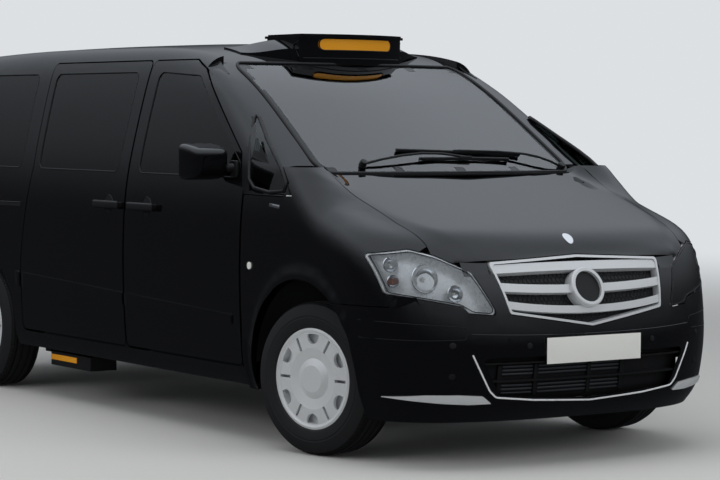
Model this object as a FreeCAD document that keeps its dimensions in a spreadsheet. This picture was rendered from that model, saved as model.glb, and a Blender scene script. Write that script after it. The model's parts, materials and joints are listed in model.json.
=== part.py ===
import FreeCAD, Part
import math
import os

# Taxi cab, a van based passenger cab. Lengths in millimetres.
# +X is forward, +Y is left, +Z is up, the ground is z = 0.
# Stations named *_ahead are measured forward of the front axle.

DIMENSIONS = (
    # whole vehicle
    ("front_axle_x", 1643), ("wheelbase", 3200), ("half_track", 815),
    ("wheel_centre_height", 336.5), ("rest_steer_angle", 12.5),
    # side section of the body, height and half width
    ("side_z_low", 200), ("side_y_low", 872), ("side_z_sill", 300), ("side_y_sill", 912),
    ("side_z_rub", 480), ("side_y_rub", 938), ("side_z_mid", 720), ("side_y_mid", 948),
    ("side_z_waist", 950), ("side_y_waist", 946), ("side_z_belt", 1150), ("side_y_belt", 928),
    ("side_z_pane", 1400), ("side_y_pane", 876), ("side_z_upper", 1600), ("side_y_upper", 824),
    ("side_z_rail", 1750), ("side_y_rail", 778), ("side_z_crest", 1850), ("side_y_crest", 742),
    # front face at the centre plane, height and station
    ("nose_z_chin", 190), ("nose_s_chin", 762), ("nose_z_lip", 260), ("nose_s_lip", 826),
    ("nose_z_intake", 360), ("nose_s_intake", 850), ("nose_z_plate", 500), ("nose_s_plate", 861),
    ("nose_z_shelf", 610), ("nose_s_shelf", 846), ("nose_z_grille", 760), ("nose_s_grille", 802),
    ("nose_z_brow", 890), ("nose_s_brow", 736), ("nose_z_crest", 1060), ("nose_s_crest", 640),
    ("corner_start_ahead", 280), ("corner_power", 2.7),
    # rear face at the centre plane, height and station
    ("tail_z_low", 240), ("tail_s_low", -4100), ("tail_z_bumper", 480), ("tail_s_bumper", -4147),
    ("tail_z_waist", 900), ("tail_s_waist", -4120), ("tail_z_belt", 1200), ("tail_s_belt", -4095),
    ("tail_z_pane", 1500), ("tail_s_pane", -4030), ("tail_z_crest", 1850), ("tail_s_crest", -3925),
    ("tail_corner_start_ahead", -3820), ("tail_corner_power", 3.6),
    # roof line at the centre plane
    ("roof_s_header", -900), ("roof_z_header", 1768), ("roof_s_front", -1200), ("roof_z_front", 1818),
    ("roof_s_middle", -1900), ("roof_z_middle", 1852), ("roof_s_back", -2900), ("roof_z_back", 1850),
    ("roof_s_tail", -4050), ("roof_z_tail", 1806), ("roof_fan_ahead", -2400), ("roof_crown", 34), ("roof_crown_width", 700),
    # windscreen
    ("screen_base_ahead", -106), ("screen_base_z", 1249), ("screen_run", 741), ("screen_rise", 473),
    ("screen_bow", 99), ("screen_bow_width", 710), ("screen_base_half", 722), ("screen_top_half", 655),
    ("screen_top_z", 1742), ("screen_low_z", 1222), ("glass_thickness", 5),
    # bonnet line at the centre plane
    ("bonnet_s_rear", -150), ("bonnet_z_rear", 1243), ("bonnet_s_back", 150), ("bonnet_z_back", 1147),
    ("bonnet_s_mid", 420), ("bonnet_z_mid", 1060), ("bonnet_s_fore", 600), ("bonnet_z_fore", 1000),
    ("bonnet_s_nose", 700), ("bonnet_z_nose", 962), ("bonnet_drop", 26), ("bonnet_drop_width", 720),
    ("shoulder_lift", 130), ("shoulder_run", 380), ("shoulder_width", 190),
    # shut lines
    ("shut_gap", 7), ("shut_radius", 40), ("seat_gap", 0.3),
    ("slide_rear_low_ahead", -2681), ("slide_rear_low_z", 710), ("slide_rear_belt_ahead", -2586),
    ("slide_rear_belt_z", 1212), ("slide_rear_top_ahead", -2612), ("door_top_z", 1745),
    ("door_split_ahead", -1571), ("door_front_ahead", -493), ("door_bottom_z", 345),
    ("door_front_top_z", 1262), ("pillar_mid_ahead", -790), ("pillar_mid_z", 1490),
    ("pillar_top_ahead", -1060), ("pillar_top_z", 1700),
    ("sill_bottom_z", 246), ("rail_half", 690),
    # side panes
    ("pane_low_z", 1196), ("pane_top_z", 1690), ("front_pane_rear_ahead", -1478),
    ("front_pane_top_ahead", -1085), ("front_pane_mid_ahead", -800), ("front_pane_mid_z", 1446),
    ("front_pane_fore_ahead", -548), ("front_pane_fore_z", 1262),
    ("slide_pane_rear_ahead", -2530), ("slide_pane_front_ahead", -1668),
    ("rear_pane_rear_ahead", -3800), ("rear_pane_front_ahead", -2740), ("pane_radius", 45),
    ("quarter_rear_ahead", -470), ("quarter_low_z", 1146), ("quarter_front_ahead", -178), ("quarter_mid_ahead", -268),
    ("quarter_top_z", 1392),
    # thicknesses
    ("door_thickness", 58), ("frame_thickness", 32), ("wall_thickness", 70), ("skin_thickness", 4),
    ("roof_thickness", 26), ("bumper_thickness", 5), ("lid_thickness", 24), ("lamp_thickness", 70),
    ("lens_thickness", 4),
    # wheel arches
    ("arch_radius", 407), ("arch_lift", 26), ("front_arch_ahead", 10), ("arch_depth", 330),
    ("flare_depth", 12), ("flare_side_radius", 436), ("flare_top_radius", 500), ("wing_split_z", 686),
    ("liner_thickness", 3), ("liner_gap", 12),
    # door frames behind the doors
    ("ring_inset", 64), ("ring_depth", 14), ("ring_outside", 40), ("ring_inside", 25),
    # front panel splits
    ("bonnet_side_rear", 738), ("bonnet_side_mid", 728), ("bonnet_side_fore", 704),
    ("bonnet_fore_ahead", 590), ("bonnet_rear_mid_ahead", -22), ("bonnet_rear_quarter_ahead", -58), ("wing_front_ahead", 440), ("bumper_rear_ahead", 352),
    ("lamp_rear_y", 914), ("lamp_rear_z", 902), ("lamp_top_y", 780), ("lamp_top_z", 922),
    ("lamp_peak_y", 690), ("lamp_peak_z", 896), ("lamp_crown_y", 560), ("lamp_crown_z", 826),
    ("lamp_tip_y", 480), ("lamp_tip_z", 652), ("lamp_step_y", 600), ("lamp_step_z", 662),
    ("lamp_notch_y", 622), ("lamp_notch_z", 690), ("lamp_low_y", 884), ("lamp_low_z", 742),
    ("grille_top_y", 468), ("grille_top_z", 868), ("grille_mid_top_z", 890),
    ("grille_low_y", 418), ("grille_low_z", 655), ("grille_mid_low_z", 592),
    ("intake_half", 560), ("intake_low_half", 470), ("intake_low_z", 312), ("intake_mid_low_z", 284),
    ("intake_top_z", 474), ("intake_depth", 40), ("slat_upper_z", 448), ("slat_lower_z", 372),
    ("louvre_thickness", 5), ("louvre_high_z", 842), ("louvre_high_mid_z", 848), ("louvre_high_height", 36),
    ("louvre_middle_z", 768), ("louvre_middle_mid_z", 752), ("louvre_middle_height", 34),
    ("louvre_low_z", 700), ("louvre_low_mid_z", 664), ("louvre_low_height", 31),
    ("ring_radius", 88), ("ring_bore", 70), ("ring_depth_front", 14), ("ring_z", 754), ("bumper_low_z", 196),
    # crease of the bonnet, half width at three stations
    ("crease_s_rear", 23), ("crease_y_rear", 700), ("crease_s_mid", 552), ("crease_y_mid", 600),
    ("crease_s_nose", 716), ("crease_y_nose", 480), ("crease_drop", 15), ("crease_run", 110),
    # tail lamps in the rear corners, seen from behind
    ("tail_lamp_inner", 792), ("tail_lamp_outer", 884), ("tail_lamp_low_z", 760), ("tail_lamp_top_z", 1160),
    # wheels
    ("tyre_radius", 336.5), ("tyre_width", 205), ("tyre_bore_radius", 203), ("tyre_shoulder", 26),
    ("tyre_sidewall", 90), ("rim_width", 178), ("rim_lip_radius", 222), ("rim_wall", 7),
    ("cover_depth", 16), ("cover_radius", 212), ("cover_cap_radius", 74), ("cover_offset", 70),
    ("slit_inner_radius", 134), ("slit_outer_radius", 198), ("slit_width", 13),
    ("scallop_radius", 34), ("scallop_centre_radius", 186),
    ("hub_radius", 64), ("hub_length", 60), ("disc_radius", 146), ("disc_thickness", 26),
    ("kingpin_inset", 88), ("knuckle_width", 70), ("knuckle_height", 250), ("knuckle_length", 60),
    # underbody
    ("floor_z", 430), ("floor_thickness", 40), ("floor_half", 800), ("floor_front_ahead", -420),
    ("floor_rear_ahead", -4040), ("toe_thickness", 14), ("rear_tub_width", 250), ("tub_clearance", 60),
    ("leg_width", 70), ("leg_height", 110), ("leg_half_spacing", 420), ("leg_front_ahead", 690),
    ("arm_width", 40), ("arm_thickness", 22), ("beam_radius", 38), ("beam_drop", 60), ("subframe_length", 320), ("subframe_height", 60),
    ("engine_length", 520), ("engine_width", 620), ("engine_height", 560), 
    ("engine_ahead", 60), ("tank_length", 700), ("tank_width", 500), ("tank_height", 170),
    ("tank_ahead", -2500), ("pipe_radius", 28), ("silencer_radius", 90), ("silencer_length", 520),
    # cabin
    ("seat_width", 500), ("seat_depth", 500), ("seat_height", 120), ("seat_z", 620),
    ("back_height", 600), ("back_thickness", 120), ("back_lean", 14), ("driver_seat_ahead", -1140),
    ("front_seat_half", 400), ("bench_ahead", -3420), ("bench_width", 1150), ("bench_z", 600),
    ("tip_ahead", -2000), ("tip_width", 420), ("tip_depth", 330), ("partition_ahead", -1640),
    ("partition_thickness", 16), ("dash_rear_ahead", -720), ("dash_fore_ahead", -210),
    ("dash_top_z", 1188), ("dash_brow_z", 1100), ("dash_knee_z", 780), ("dash_low_z", 690), ("dash_half", 740), ("wheel_rim_radius", 190), ("wheel_rim_section", 15),
    ("steer_wheel_ahead", -910), ("steer_wheel_z", 1090), ("steer_wheel_tilt", 34), ("column_length", 420),
    ("steer_wheel_y", -400), ("pedestal_height", 150),
    # outside fittings
    ("mirror_ahead", -655), ("mirror_y", 1035), ("mirror_z", 1266), ("mirror_length", 150),
    ("mirror_width", 206), ("mirror_height", 168), ("mirror_foot_z", 1222), ("mirror_foot_ahead", -545), ("mirror_round", 40),
    ("sign_half", 525), ("sign_front_ahead", -915), ("sign_sweep", 235), ("sign_depth", 300),
    ("sign_top_z", 1875), ("sign_wing_height", 50), ("sign_box_half", 300), ("sign_lens_half", 212),
    ("sign_lens_low_z", 1796), ("sign_lens_top_z", 1854), ("sign_lens_depth", 26), ("sign_visor", 16),
    ("cowl_z", 1221.7), ("cowl_thickness", 8), ("cowl_depth", 60), ("step_length", 430), ("step_ahead", -2260), ("step_height", 70),
    ("step_depth", 150), ("step_z", 175.7), ("wiper_length", 560), ("wiper_width", 14),
    ("wiper_height", 18), ("wiper_left_y", 330), ("wiper_right_y", -420), ("wiper_lift", 7),
    ("front_frame_ahead", 640), ("front_frame_depth", 24), ("front_frame_half", 480), ("front_frame_top_z", 800),
    ("gate_lug_y", 400), ("gate_lug_z", 1726), ("gate_arm_ahead", -3906), ("lid_lug_y", 600), ("lid_lug_ahead", -78),
    ("lid_lug_radius", 14), ("lug_width", 40), ("lug_height", 30), ("leg_lug_z", 400), ("pillar_depth", 60), ("pillar_outer", 876), ("pillar_inner", 800), ("pad_size", 60), ("pad_half_spacing", 770), ("pad_bottom_z", 226), ("pad_front_ahead", -600),
    ("pad_rear_ahead", -2650),
)

doc = FreeCAD.newDocument("taxi_cab")
sheet = doc.addObject("Spreadsheet::Sheet", "dims")
for row, (alias, value) in enumerate(DIMENSIONS, 1):
    sheet.set("A%d" % row, alias)
    sheet.set("B%d" % row, str(value))
    sheet.setAlias("B%d" % row, alias)
doc.recompute()


SIZE = {alias: float(sheet.get(alias)) for alias, value in DIMENSIONS}


def size(alias):
    return SIZE[alias]


# numeric helpers

def spline(points):
    """Natural cubic through (x, y) points, straight beyond its ends."""
    points = sorted(points)
    xs = [p[0] for p in points]
    ys = [p[1] for p in points]
    n = len(xs)
    gaps = [xs[i + 1] - xs[i] for i in range(n - 1)]
    rises = [(ys[i + 1] - ys[i]) / gaps[i] for i in range(n - 1)]
    lower = [0.0] * n
    rhs = [0.0] * n
    diag = [1.0] * n
    for i in range(1, n - 1):
        diag[i] = 2 * (gaps[i - 1] + gaps[i])
        rhs[i] = 6 * (rises[i] - rises[i - 1])
        lower[i] = gaps[i - 1]
    upper = [0.0] * n
    for i in range(1, n - 1):
        upper[i] = gaps[i]
    for i in range(1, n):
        factor = (lower[i] if i < n - 1 else 0.0) / diag[i - 1]
        diag[i] -= factor * upper[i - 1]
        rhs[i] -= factor * rhs[i - 1]
    bend = [0.0] * n
    for i in range(n - 2, 0, -1):
        bend[i] = (rhs[i] - upper[i] * bend[i + 1]) / diag[i]

    def curve(x):
        if x <= xs[0]:
            slope = rises[0] - gaps[0] * bend[1] / 6
            return ys[0] + slope * (x - xs[0])
        if x >= xs[-1]:
            slope = rises[-1] + gaps[-1] * bend[-2] / 6
            return ys[-1] + slope * (x - xs[-1])
        i = 0
        while xs[i + 1] < x:
            i += 1
        left = xs[i + 1] - x
        right = x - xs[i]
        gap = gaps[i]
        first = bend[i] * left ** 3 / (6 * gap) + bend[i + 1] * right ** 3 / (6 * gap)
        second = (ys[i] / gap - bend[i] * gap / 6) * left
        third = (ys[i + 1] / gap - bend[i + 1] * gap / 6) * right
        return first + second + third
    return curve


def smooth_max(a, b, reach):
    overlap = max(reach - abs(a - b), 0.0) / reach
    return max(a, b) + overlap ** 3 * reach / 6


def pairs(prefix, first, second, names):
    return [(size("%s_%s_%s" % (prefix, first, name)), size("%s_%s_%s" % (prefix, second, name)))
            for name in names]


side_width = spline(pairs("side", "z", "y", (
    "low", "sill", "rub", "mid", "waist", "belt", "pane", "upper", "rail", "crest")))
nose_line = spline(pairs("nose", "z", "s", (
    "chin", "lip", "intake", "plate", "shelf", "grille", "brow", "crest")))
tail_line = spline(pairs("tail", "z", "s", ("low", "bumper", "waist", "belt", "pane", "crest")))
roof_line = spline(pairs("roof", "s", "z", ("header", "front", "middle", "back", "tail")))
bonnet_line = spline(pairs("bonnet", "s", "z", ("rear", "back", "mid", "fore", "nose")))

RAIL_BLEND_SHARE = 0.24
HEADER_BLEND_SHARE = 0.42
PILLAR_BLEND_SHARE = 0.2
WING_BLEND_SHARE = 0.27
TAIL_BLEND_SHARE = 0.12
RAIL_BLEND = RAIL_BLEND_SHARE * size("roof_crown_width")
HEADER_BLEND = HEADER_BLEND_SHARE * size("roof_crown_width")
PILLAR_BLEND = PILLAR_BLEND_SHARE * size("roof_crown_width")
WING_BLEND = WING_BLEND_SHARE * size("bonnet_drop_width")
TAIL_BLEND = TAIL_BLEND_SHARE * size("roof_crown_width")
NOSE_FLOOR = size("corner_start_ahead") + size("lamp_thickness")
STEP = size("shut_gap") / 4


def plan_field(s, y, z):
    """Signed distance, roughly, from the upright walls of the body."""
    half = side_width(z)
    across = abs(y) / half
    start = size("corner_start_ahead")
    back = size("tail_corner_start_ahead")
    if s > start:
        length = max(nose_line(z), NOSE_FLOOR) - start
        power = size("corner_power")
        total = ((s - start) / length) ** power + across ** power
        return (total ** (1 / power) - 1) * half
    if s < back:
        length = back - tail_line(z)
        power = size("tail_corner_power")
        total = ((back - s) / length) ** power + across ** power
        return (total ** (1 / power) - 1) * half
    return (across - 1) * half


def roof_field(s, y, z):
    crown = size("roof_crown") * (y / size("roof_crown_width")) ** 2
    return z - roof_line(s) + crown


SCREEN_SLOPE = size("screen_run") / size("screen_rise")
SCREEN_SCALE = 1 / math.sqrt(1 + SCREEN_SLOPE ** 2)


def screen_station(y, z):
    bow = size("screen_bow") * (y / size("screen_bow_width")) ** 2
    return size("screen_base_ahead") - SCREEN_SLOPE * (z - size("screen_base_z")) - bow


def upper_field(s, y, z):
    """Cabin above the belt, with the windscreen and the roof."""
    walls = smooth_max(plan_field(s, y, z), roof_field(s, y, z), RAIL_BLEND)
    screen = (s - screen_station(y, z)) * SCREEN_SCALE
    top = smooth_max(roof_field(s, y, z), screen, HEADER_BLEND)
    return smooth_max(smooth_max(walls, screen, PILLAR_BLEND), top, PILLAR_BLEND / 4)


def cabin_field(s, y, z):
    """Cabin walls and roof without the windscreen."""
    return smooth_max(plan_field(s, y, z), roof_field(s, y, z), RAIL_BLEND)


def ease(share):
    share = min(max(share, 0.0), 1.0)
    return share * share * (3 - 2 * share)


crease_line = spline(pairs("crease", "s", "y", ("rear", "mid", "nose")))


def flare(s, z):
    """How far the wing swells out round the arch of the front wheel."""
    rise = max(z - size("wheel_centre_height") - size("arch_lift"), 0.0)
    reach = math.hypot(s - size("front_arch_ahead"), rise)
    lift = (rise / max(reach, STEP)) ** 2
    outer = size("flare_side_radius") + (size("flare_top_radius") - size("flare_side_radius")) * lift
    return size("flare_depth") * ease((outer - reach) / (outer - size("arch_radius")))


def lower_field(s, y, z):
    """Front end below the windscreen, with bonnet and wings."""
    drop = size("bonnet_drop") * abs(y / size("bonnet_drop_width")) ** 3
    beyond = ease((abs(y) - crease_line(s)) / size("crease_run"))
    ahead = ease((s - size("bonnet_s_rear")) / size("shoulder_run"))
    drop = drop + size("crease_drop") * beyond * ahead
    rear = ease((size("bonnet_s_back") - s) / size("shoulder_run"))
    side = ease((abs(y) - size("screen_top_half")) / size("shoulder_width"))
    bonnet = z - bonnet_line(s) + drop - size("shoulder_lift") * rear * side
    return smooth_max(plan_field(s, y, z) - flare(s, z), bonnet, WING_BLEND)


def side_field(s, y, z):
    return plan_field(s, y, z)


SPAN = size("side_y_mid")


def hit(field, base, direction):
    """Distance along a ray from inside to where the field is zero."""
    low = 0.0
    high = SPAN * 2
    for turn in range(40):
        middle = (low + high) / 2
        point = [base[k] + direction[k] * middle for k in range(3)]
        if field(*point) > 0:
            high = middle
        else:
            low = middle
    return (low + high) / 2



def outward(field, point):
    """Unit normal of the field at a point."""
    slopes = []
    for axis in range(3):
        ahead = list(point)
        behind = list(point)
        ahead[axis] += STEP
        behind[axis] -= STEP
        slopes.append(field(*ahead) - field(*behind))
    normal = FreeCAD.Vector(*slopes)
    normal.normalize()
    return normal


def spread(first, last, count):
    return [first + (last - first) * i / (count - 1) for i in range(count)]


def ray_side(s, angle):
    """Ray in a cross section, from a point low in the cabin."""
    base = (s, -size("side_y_mid") * 0.42, size("side_z_waist"))
    return base, (0.0, -math.cos(angle), math.sin(angle))


def ray_pillar(tilt, angle):
    """Ray in a plane that turns about a line across the cabin."""
    base = (size("pillar_top_ahead"), -size("side_y_mid") * 0.42, size("quarter_low_z"))
    side = math.cos(angle)
    onward = math.sin(angle)
    return base, (onward * math.sin(tilt), -side, onward * math.cos(tilt))


def ray_plan(angle, z):
    base = (size("corner_start_ahead") * 0.5, 0.0, z)
    return base, (math.cos(angle), math.sin(angle), 0.0)


def ray_nose(angle, y):
    base = (size("corner_start_ahead") * 0.6, y, size("nose_z_grille"))
    return base, (math.sin(angle), 0.0, math.cos(angle))


def ray_roof(angle, y):
    """Ray in a plane along the vehicle, fanned up from the middle."""
    base = (size("roof_fan_ahead"), y, size("side_z_waist"))
    return base, (math.sin(angle), 0.0, math.cos(angle))


def under_skin(field, base, direction, depth):
    """Point at a depth under the surface, below where a ray meets it."""
    reach = hit(field, base, direction)
    point = FreeCAD.Vector(*[base[k] + direction[k] * reach for k in range(3)])
    return point - outward(field, tuple(point)) * depth


def ray_screen(y, z):
    return (size("roof_s_middle"), y, z), (1.0, 0.0, 0.0)


def ray_back(angle, z):
    base = (size("roof_s_back"), 0.0, z)
    return base, (math.cos(angle), math.sin(angle), 0.0)


def face_of(grid):
    surface = Part.BSplineSurface()
    surface.interpolate(grid)
    return surface.toShape()


def edge_of(points):
    curve = Part.BSplineCurve()
    curve.interpolate(points)
    return curve.toShape()


def shell_between(outer, inner):
    """Solid between two grids of points with the same layout."""
    faces = [face_of(outer), face_of(inner)]
    rims = (
        ([row[0] for row in outer], [row[0] for row in inner]),
        ([row[-1] for row in outer], [row[-1] for row in inner]),
        (outer[0], inner[0]),
        (outer[-1], inner[-1]),
    )
    for near, far in rims:
        edges = []
        for grid_face, line in ((faces[0], near), (faces[1], far)):
            ends = (line[0], line[-1])
            middle = line[len(line) // 2]
            best = min(grid_face.Edges, key=lambda e: e.distToShape(Part.Vertex(middle))[0]
                       + sum(e.distToShape(Part.Vertex(p))[0] for p in ends))
            edges.append(best)
        faces.append(Part.makeRuledSurface(edges[0], edges[1]))
    shell = Part.makeShell(faces)
    if not shell.isValid() or not shell.isClosed():
        fixed = Part.makeShell(faces)
        fixed.sewShape()
        shell = fixed
    solid = Part.Solid(shell)
    if solid.Volume < 0:
        solid.reverse()
    return solid


def skin(field, ray, us, vs, thickness, inset=0.0):
    """Curved panel on the body surface, thickened inwards."""
    outer = []
    inner = []
    for u in us:
        outer_row = []
        inner_row = []
        for v in vs:
            base, direction = ray(u, v)
            reach = hit(field, base, direction)
            point = [base[k] + direction[k] * reach for k in range(3)]
            normal = outward(field, point)
            place = FreeCAD.Vector(*point)
            depth = thickness(*point) if callable(thickness) else thickness
            outer_row.append(place - normal * inset)
            inner_row.append(place - normal * (inset + depth))
        outer.append(outer_row)
        inner.append(inner_row)
    return shell_between(outer, inner)


def rounded(points, radius):
    """Closed outline with rounded corners, in a plane."""
    count = len(points)
    edges = []
    starts = []
    ends = []
    middles = []
    for i in range(count):
        before = points[i - 1]
        here = points[i]
        after = points[(i + 1) % count]
        back = (before - here).normalize()
        onward = (after - here).normalize()
        corner = back.getAngle(onward)
        room = min((before - here).Length, (after - here).Length) * 0.45
        cut = min(radius / math.tan(corner / 2), room)
        real = cut * math.tan(corner / 2)
        bisector = (back + onward).normalize()
        centre = here + bisector * (real / math.sin(corner / 2))
        starts.append(here + back * cut)
        ends.append(here + onward * cut)
        middles.append(centre - bisector * real)
    for i in range(count):
        edges.append(Part.Arc(starts[i], middles[i], ends[i]).toShape())
        nxt = starts[(i + 1) % count]
        if (ends[i] - nxt).Length > STEP / 50:
            edges.append(Part.makeLine(ends[i], nxt))
    return Part.Wire(edges)


def side_prism(points, radius, near, far):
    """Outline given as (station, height), cut across the right side."""
    corners = [FreeCAD.Vector(s, -far, z) for s, z in points]
    face = Part.Face(rounded(corners, radius))
    return face.extrude(FreeCAD.Vector(0, far - near, 0))


def front_prism(points, radius, near, far):
    """Outline given as (offset, height), cut along the vehicle."""
    corners = [FreeCAD.Vector(near, y, z) for y, z in points]
    face = Part.Face(rounded(corners, radius))
    return face.extrude(FreeCAD.Vector(far - near, 0, 0))


def plan_prism(points, radius, low, high):
    corners = [FreeCAD.Vector(s, y, low) for s, y in points]
    face = Part.Face(rounded(corners, radius))
    return face.extrude(FreeCAD.Vector(0, 0, high - low))


def slab(x0, x1, y0, y1, z0, z1):
    corner = FreeCAD.Vector(min(x0, x1), min(y0, y1), min(z0, z1))
    return Part.makeBox(abs(x1 - x0), abs(y1 - y0), abs(z1 - z0), corner)


def shifted(points, amount):
    """Outline of (a, b) pairs moved outward by an amount."""
    count = len(points)
    area = sum(points[i - 1][0] * points[i][1] - points[i][0] * points[i - 1][1] for i in range(count))
    turn = 1 if area > 0 else -1
    result = []
    for i in range(count):
        p, q, r = points[i - 1], points[i], points[(i + 1) % count]
        normals = []
        for a, b in ((p, q), (q, r)):
            length = math.hypot(b[0] - a[0], b[1] - a[1])
            normals.append(((b[1] - a[1]) / length * turn, -(b[0] - a[0]) / length * turn))
        (ax, ay), (bx, by) = normals
        share = 1 + ax * bx + ay * by
        result.append((q[0] + (ax + bx) * amount / share, q[1] + (ay + by) * amount / share))
    return result


def mirrored(shape):
    return shape.mirror(FreeCAD.Vector(0, 0, 0), FreeCAD.Vector(0, 1, 0))


def clean(shape):
    solids = shape.Solids
    if len(solids) == 1 and solids[0].Placement.isIdentity():
        return solids[0]
    return Part.makeCompound(solids)


NODES = []


def add(name, shape, x="front_axle_x"):
    """Register a finished node; stations are moved onto the front axle."""
    node = doc.addObject("Part::Feature", name)
    node.Label = name
    node.Shape = clean(shape)
    if x:
        node.setExpression("Placement.Base.x", "<<dims>>.%s" % x)
    NODES.append(node)
    return node


# outlines in the side view

GAP = size("shut_gap")
SEAT = size("seat_gap")
CORNER = size("shut_radius")
slide_outline = [
    (size("slide_rear_low_ahead") - GAP, size("door_bottom_z")),
    (size("slide_rear_low_ahead"), size("slide_rear_low_z")),
    (size("slide_rear_belt_ahead"), size("slide_rear_belt_z")),
    (size("slide_rear_top_ahead"), size("door_top_z")),
    (size("door_split_ahead") - GAP / 2, size("door_top_z")),
    (size("door_split_ahead") - GAP / 2, size("door_bottom_z")),
]
front_outline = [
    (size("door_split_ahead") + GAP / 2, size("door_bottom_z")),
    (size("door_split_ahead") + GAP / 2, size("door_top_z")),
    (size("pillar_top_ahead") - size("shut_radius") * 3, size("door_top_z")),
    (size("pillar_top_ahead"), size("pillar_top_z")),
    (size("pillar_mid_ahead"), size("pillar_mid_z")),
    (size("door_front_ahead"), size("door_front_top_z")),
    (size("door_front_ahead"), size("door_bottom_z")),
]
front_pane = [
    (size("front_pane_rear_ahead"), size("pane_low_z")),
    (size("front_pane_rear_ahead"), size("pane_top_z")),
    (size("front_pane_top_ahead"), size("pane_top_z") - GAP * 3),
    (size("front_pane_mid_ahead"), size("front_pane_mid_z")),
    (size("front_pane_fore_ahead"), size("front_pane_fore_z")),
    (size("front_pane_fore_ahead"), size("pane_low_z")),
]
slide_pane = [
    (size("slide_pane_rear_ahead"), size("pane_low_z")),
    (size("slide_pane_rear_ahead") - GAP * 3, size("pane_top_z")),
    (size("slide_pane_front_ahead"), size("pane_top_z")),
    (size("slide_pane_front_ahead"), size("pane_low_z")),
]
rear_pane = [
    (size("rear_pane_rear_ahead"), size("pane_low_z")),
    (size("rear_pane_rear_ahead") + GAP * 8, size("pane_top_z")),
    (size("rear_pane_front_ahead"), size("pane_top_z")),
    (size("rear_pane_front_ahead") + GAP * 3, size("pane_low_z")),
]
quarter_pane = [
    (size("quarter_rear_ahead"), size("quarter_low_z")),
    (size("quarter_rear_ahead"), size("quarter_top_z")),
    (size("quarter_front_ahead"), size("quarter_low_z")),
]

INNER = size("side_y_mid") * 0.45
OUTER = size("side_y_mid") * 1.3
ARCH_Z = size("wheel_centre_height") + size("arch_lift")
FRONT_ARCH = size("front_arch_ahead")
REAR_ARCH = size("front_arch_ahead") - size("wheelbase")


def arch_cut(station, radius, depth):
    centre = FreeCAD.Vector(station, -OUTER, ARCH_Z)
    tube = Part.makeCylinder(radius, OUTER - size("side_y_mid") + depth, centre, FreeCAD.Vector(0, 1, 0))
    below = slab(station - radius, station + radius, -OUTER, -size("side_y_mid") + depth,
                 ARCH_Z - radius * 1.2, ARCH_Z)
    return tube.fuse(below)


def open_ring(outline, amount):
    return shifted(outline, amount)


# body sides

tail_side = size("tail_corner_start_ahead") - (size("tail_corner_start_ahead") - size("tail_s_waist")) * 0.55
theta_low = -math.atan2(size("side_z_waist") - size("sill_bottom_z"), size("side_y_sill") * 0.56)
theta_high = math.atan2(size("roof_z_middle") - size("side_z_waist"), size("rail_half") * 0.42)
wall_stations = spread(tail_side - GAP, size("quarter_rear_ahead") + size("shut_radius"), 25)
wall = skin(cabin_field, ray_side, wall_stations, spread(theta_low, theta_high, 19), size("wall_thickness"))
pillar = skin(upper_field, ray_pillar, spread(math.radians(-6), math.radians(97), 17),
              spread(math.radians(19), math.radians(73), 13), size("frame_thickness"))
pillar_foot = size("quarter_low_z") - GAP * 3
wall = wall.common(slab(tail_side, size("door_front_ahead") + GAP, -OUTER, -size("rail_half"),
                        size("sill_bottom_z"), size("sign_top_z")))
wall = wall.cut(slab(size("pillar_top_ahead"), size("corner_start_ahead"), -OUTER, 0,
                     pillar_foot, size("sign_top_z")))
wall = wall.cut(arch_cut(REAR_ARCH, size("arch_radius"), size("wall_thickness") * 3))
wall = wall.cut(arch_cut(FRONT_ARCH, size("arch_radius"), size("wall_thickness") * 3))
wing_back = [
    (size("door_front_ahead") + GAP, pillar_foot),
    (size("quarter_front_ahead") + CORNER * 0.7, pillar_foot),
    (size("quarter_mid_ahead"), size("screen_base_z") + GAP),
    (size("nose_s_plate"), size("screen_base_z") + GAP),
    (size("nose_s_plate"), size("sill_bottom_z") - CORNER),
    (size("door_front_ahead") + GAP, size("sill_bottom_z") - CORNER),
]
pillar = pillar.common(slab(size("pillar_top_ahead") + SEAT, size("corner_start_ahead"), -OUTER, -size("screen_top_half") * 0.9,
                            pillar_foot + SEAT, size("sign_top_z")))
pillar = pillar.cut(side_prism(wing_back, GAP, 0, OUTER))
screen_outline = [(-size("screen_base_half"), size("screen_low_z")),
                  (-size("screen_top_half"), size("screen_top_z") - GAP * 2),
                  (size("screen_top_half"), size("screen_top_z") - GAP * 2),
                  (size("screen_base_half"), size("screen_low_z"))]
screen_reach = (size("roof_s_header") - CORNER * 5, size("corner_start_ahead"))
pillar = pillar.cut(front_prism(shifted(screen_outline, SEAT), CORNER * 1.3, *screen_reach))
HEADER_Z = size("screen_top_z") - GAP * 2
rail_cut = slab(size("pillar_top_ahead") - GAP, size("corner_start_ahead"), -size("rail_half"), 0, HEADER_Z,
                size("sign_top_z"))
pillar = pillar.cut(rail_cut)
for outline in (slide_outline, front_outline):
    wall = wall.cut(side_prism(open_ring(outline, GAP / 2), CORNER, INNER, OUTER))
wall = wall.cut(side_prism(rear_pane, size("pane_radius"), INNER, OUTER))
frame_stations = spread(size("slide_rear_low_ahead") - CORNER * 2, size("door_front_ahead") + CORNER * 2, 17)
door_frame = skin(cabin_field, ray_side, frame_stations, spread(theta_low, theta_high, 17), size("ring_depth"),
                  size("ring_inset"))
frame_tool = side_prism(shifted(slide_outline, size("ring_outside")), CORNER * 2, INNER, OUTER)
frame_tool = frame_tool.fuse(side_prism(shifted(front_outline, size("ring_outside")), CORNER * 2, INNER, OUTER))
door_frame = door_frame.common(frame_tool)
for outline in (slide_outline, front_outline):
    door_frame = door_frame.cut(side_prism(shifted(outline, -size("ring_inside")), CORNER, INNER, OUTER))
door_frame = door_frame.common(slab(tail_side, size("door_front_ahead") + CORNER, -OUTER, -size("rail_half"),
                                    size("sill_bottom_z"), size("sign_top_z")))
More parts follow.
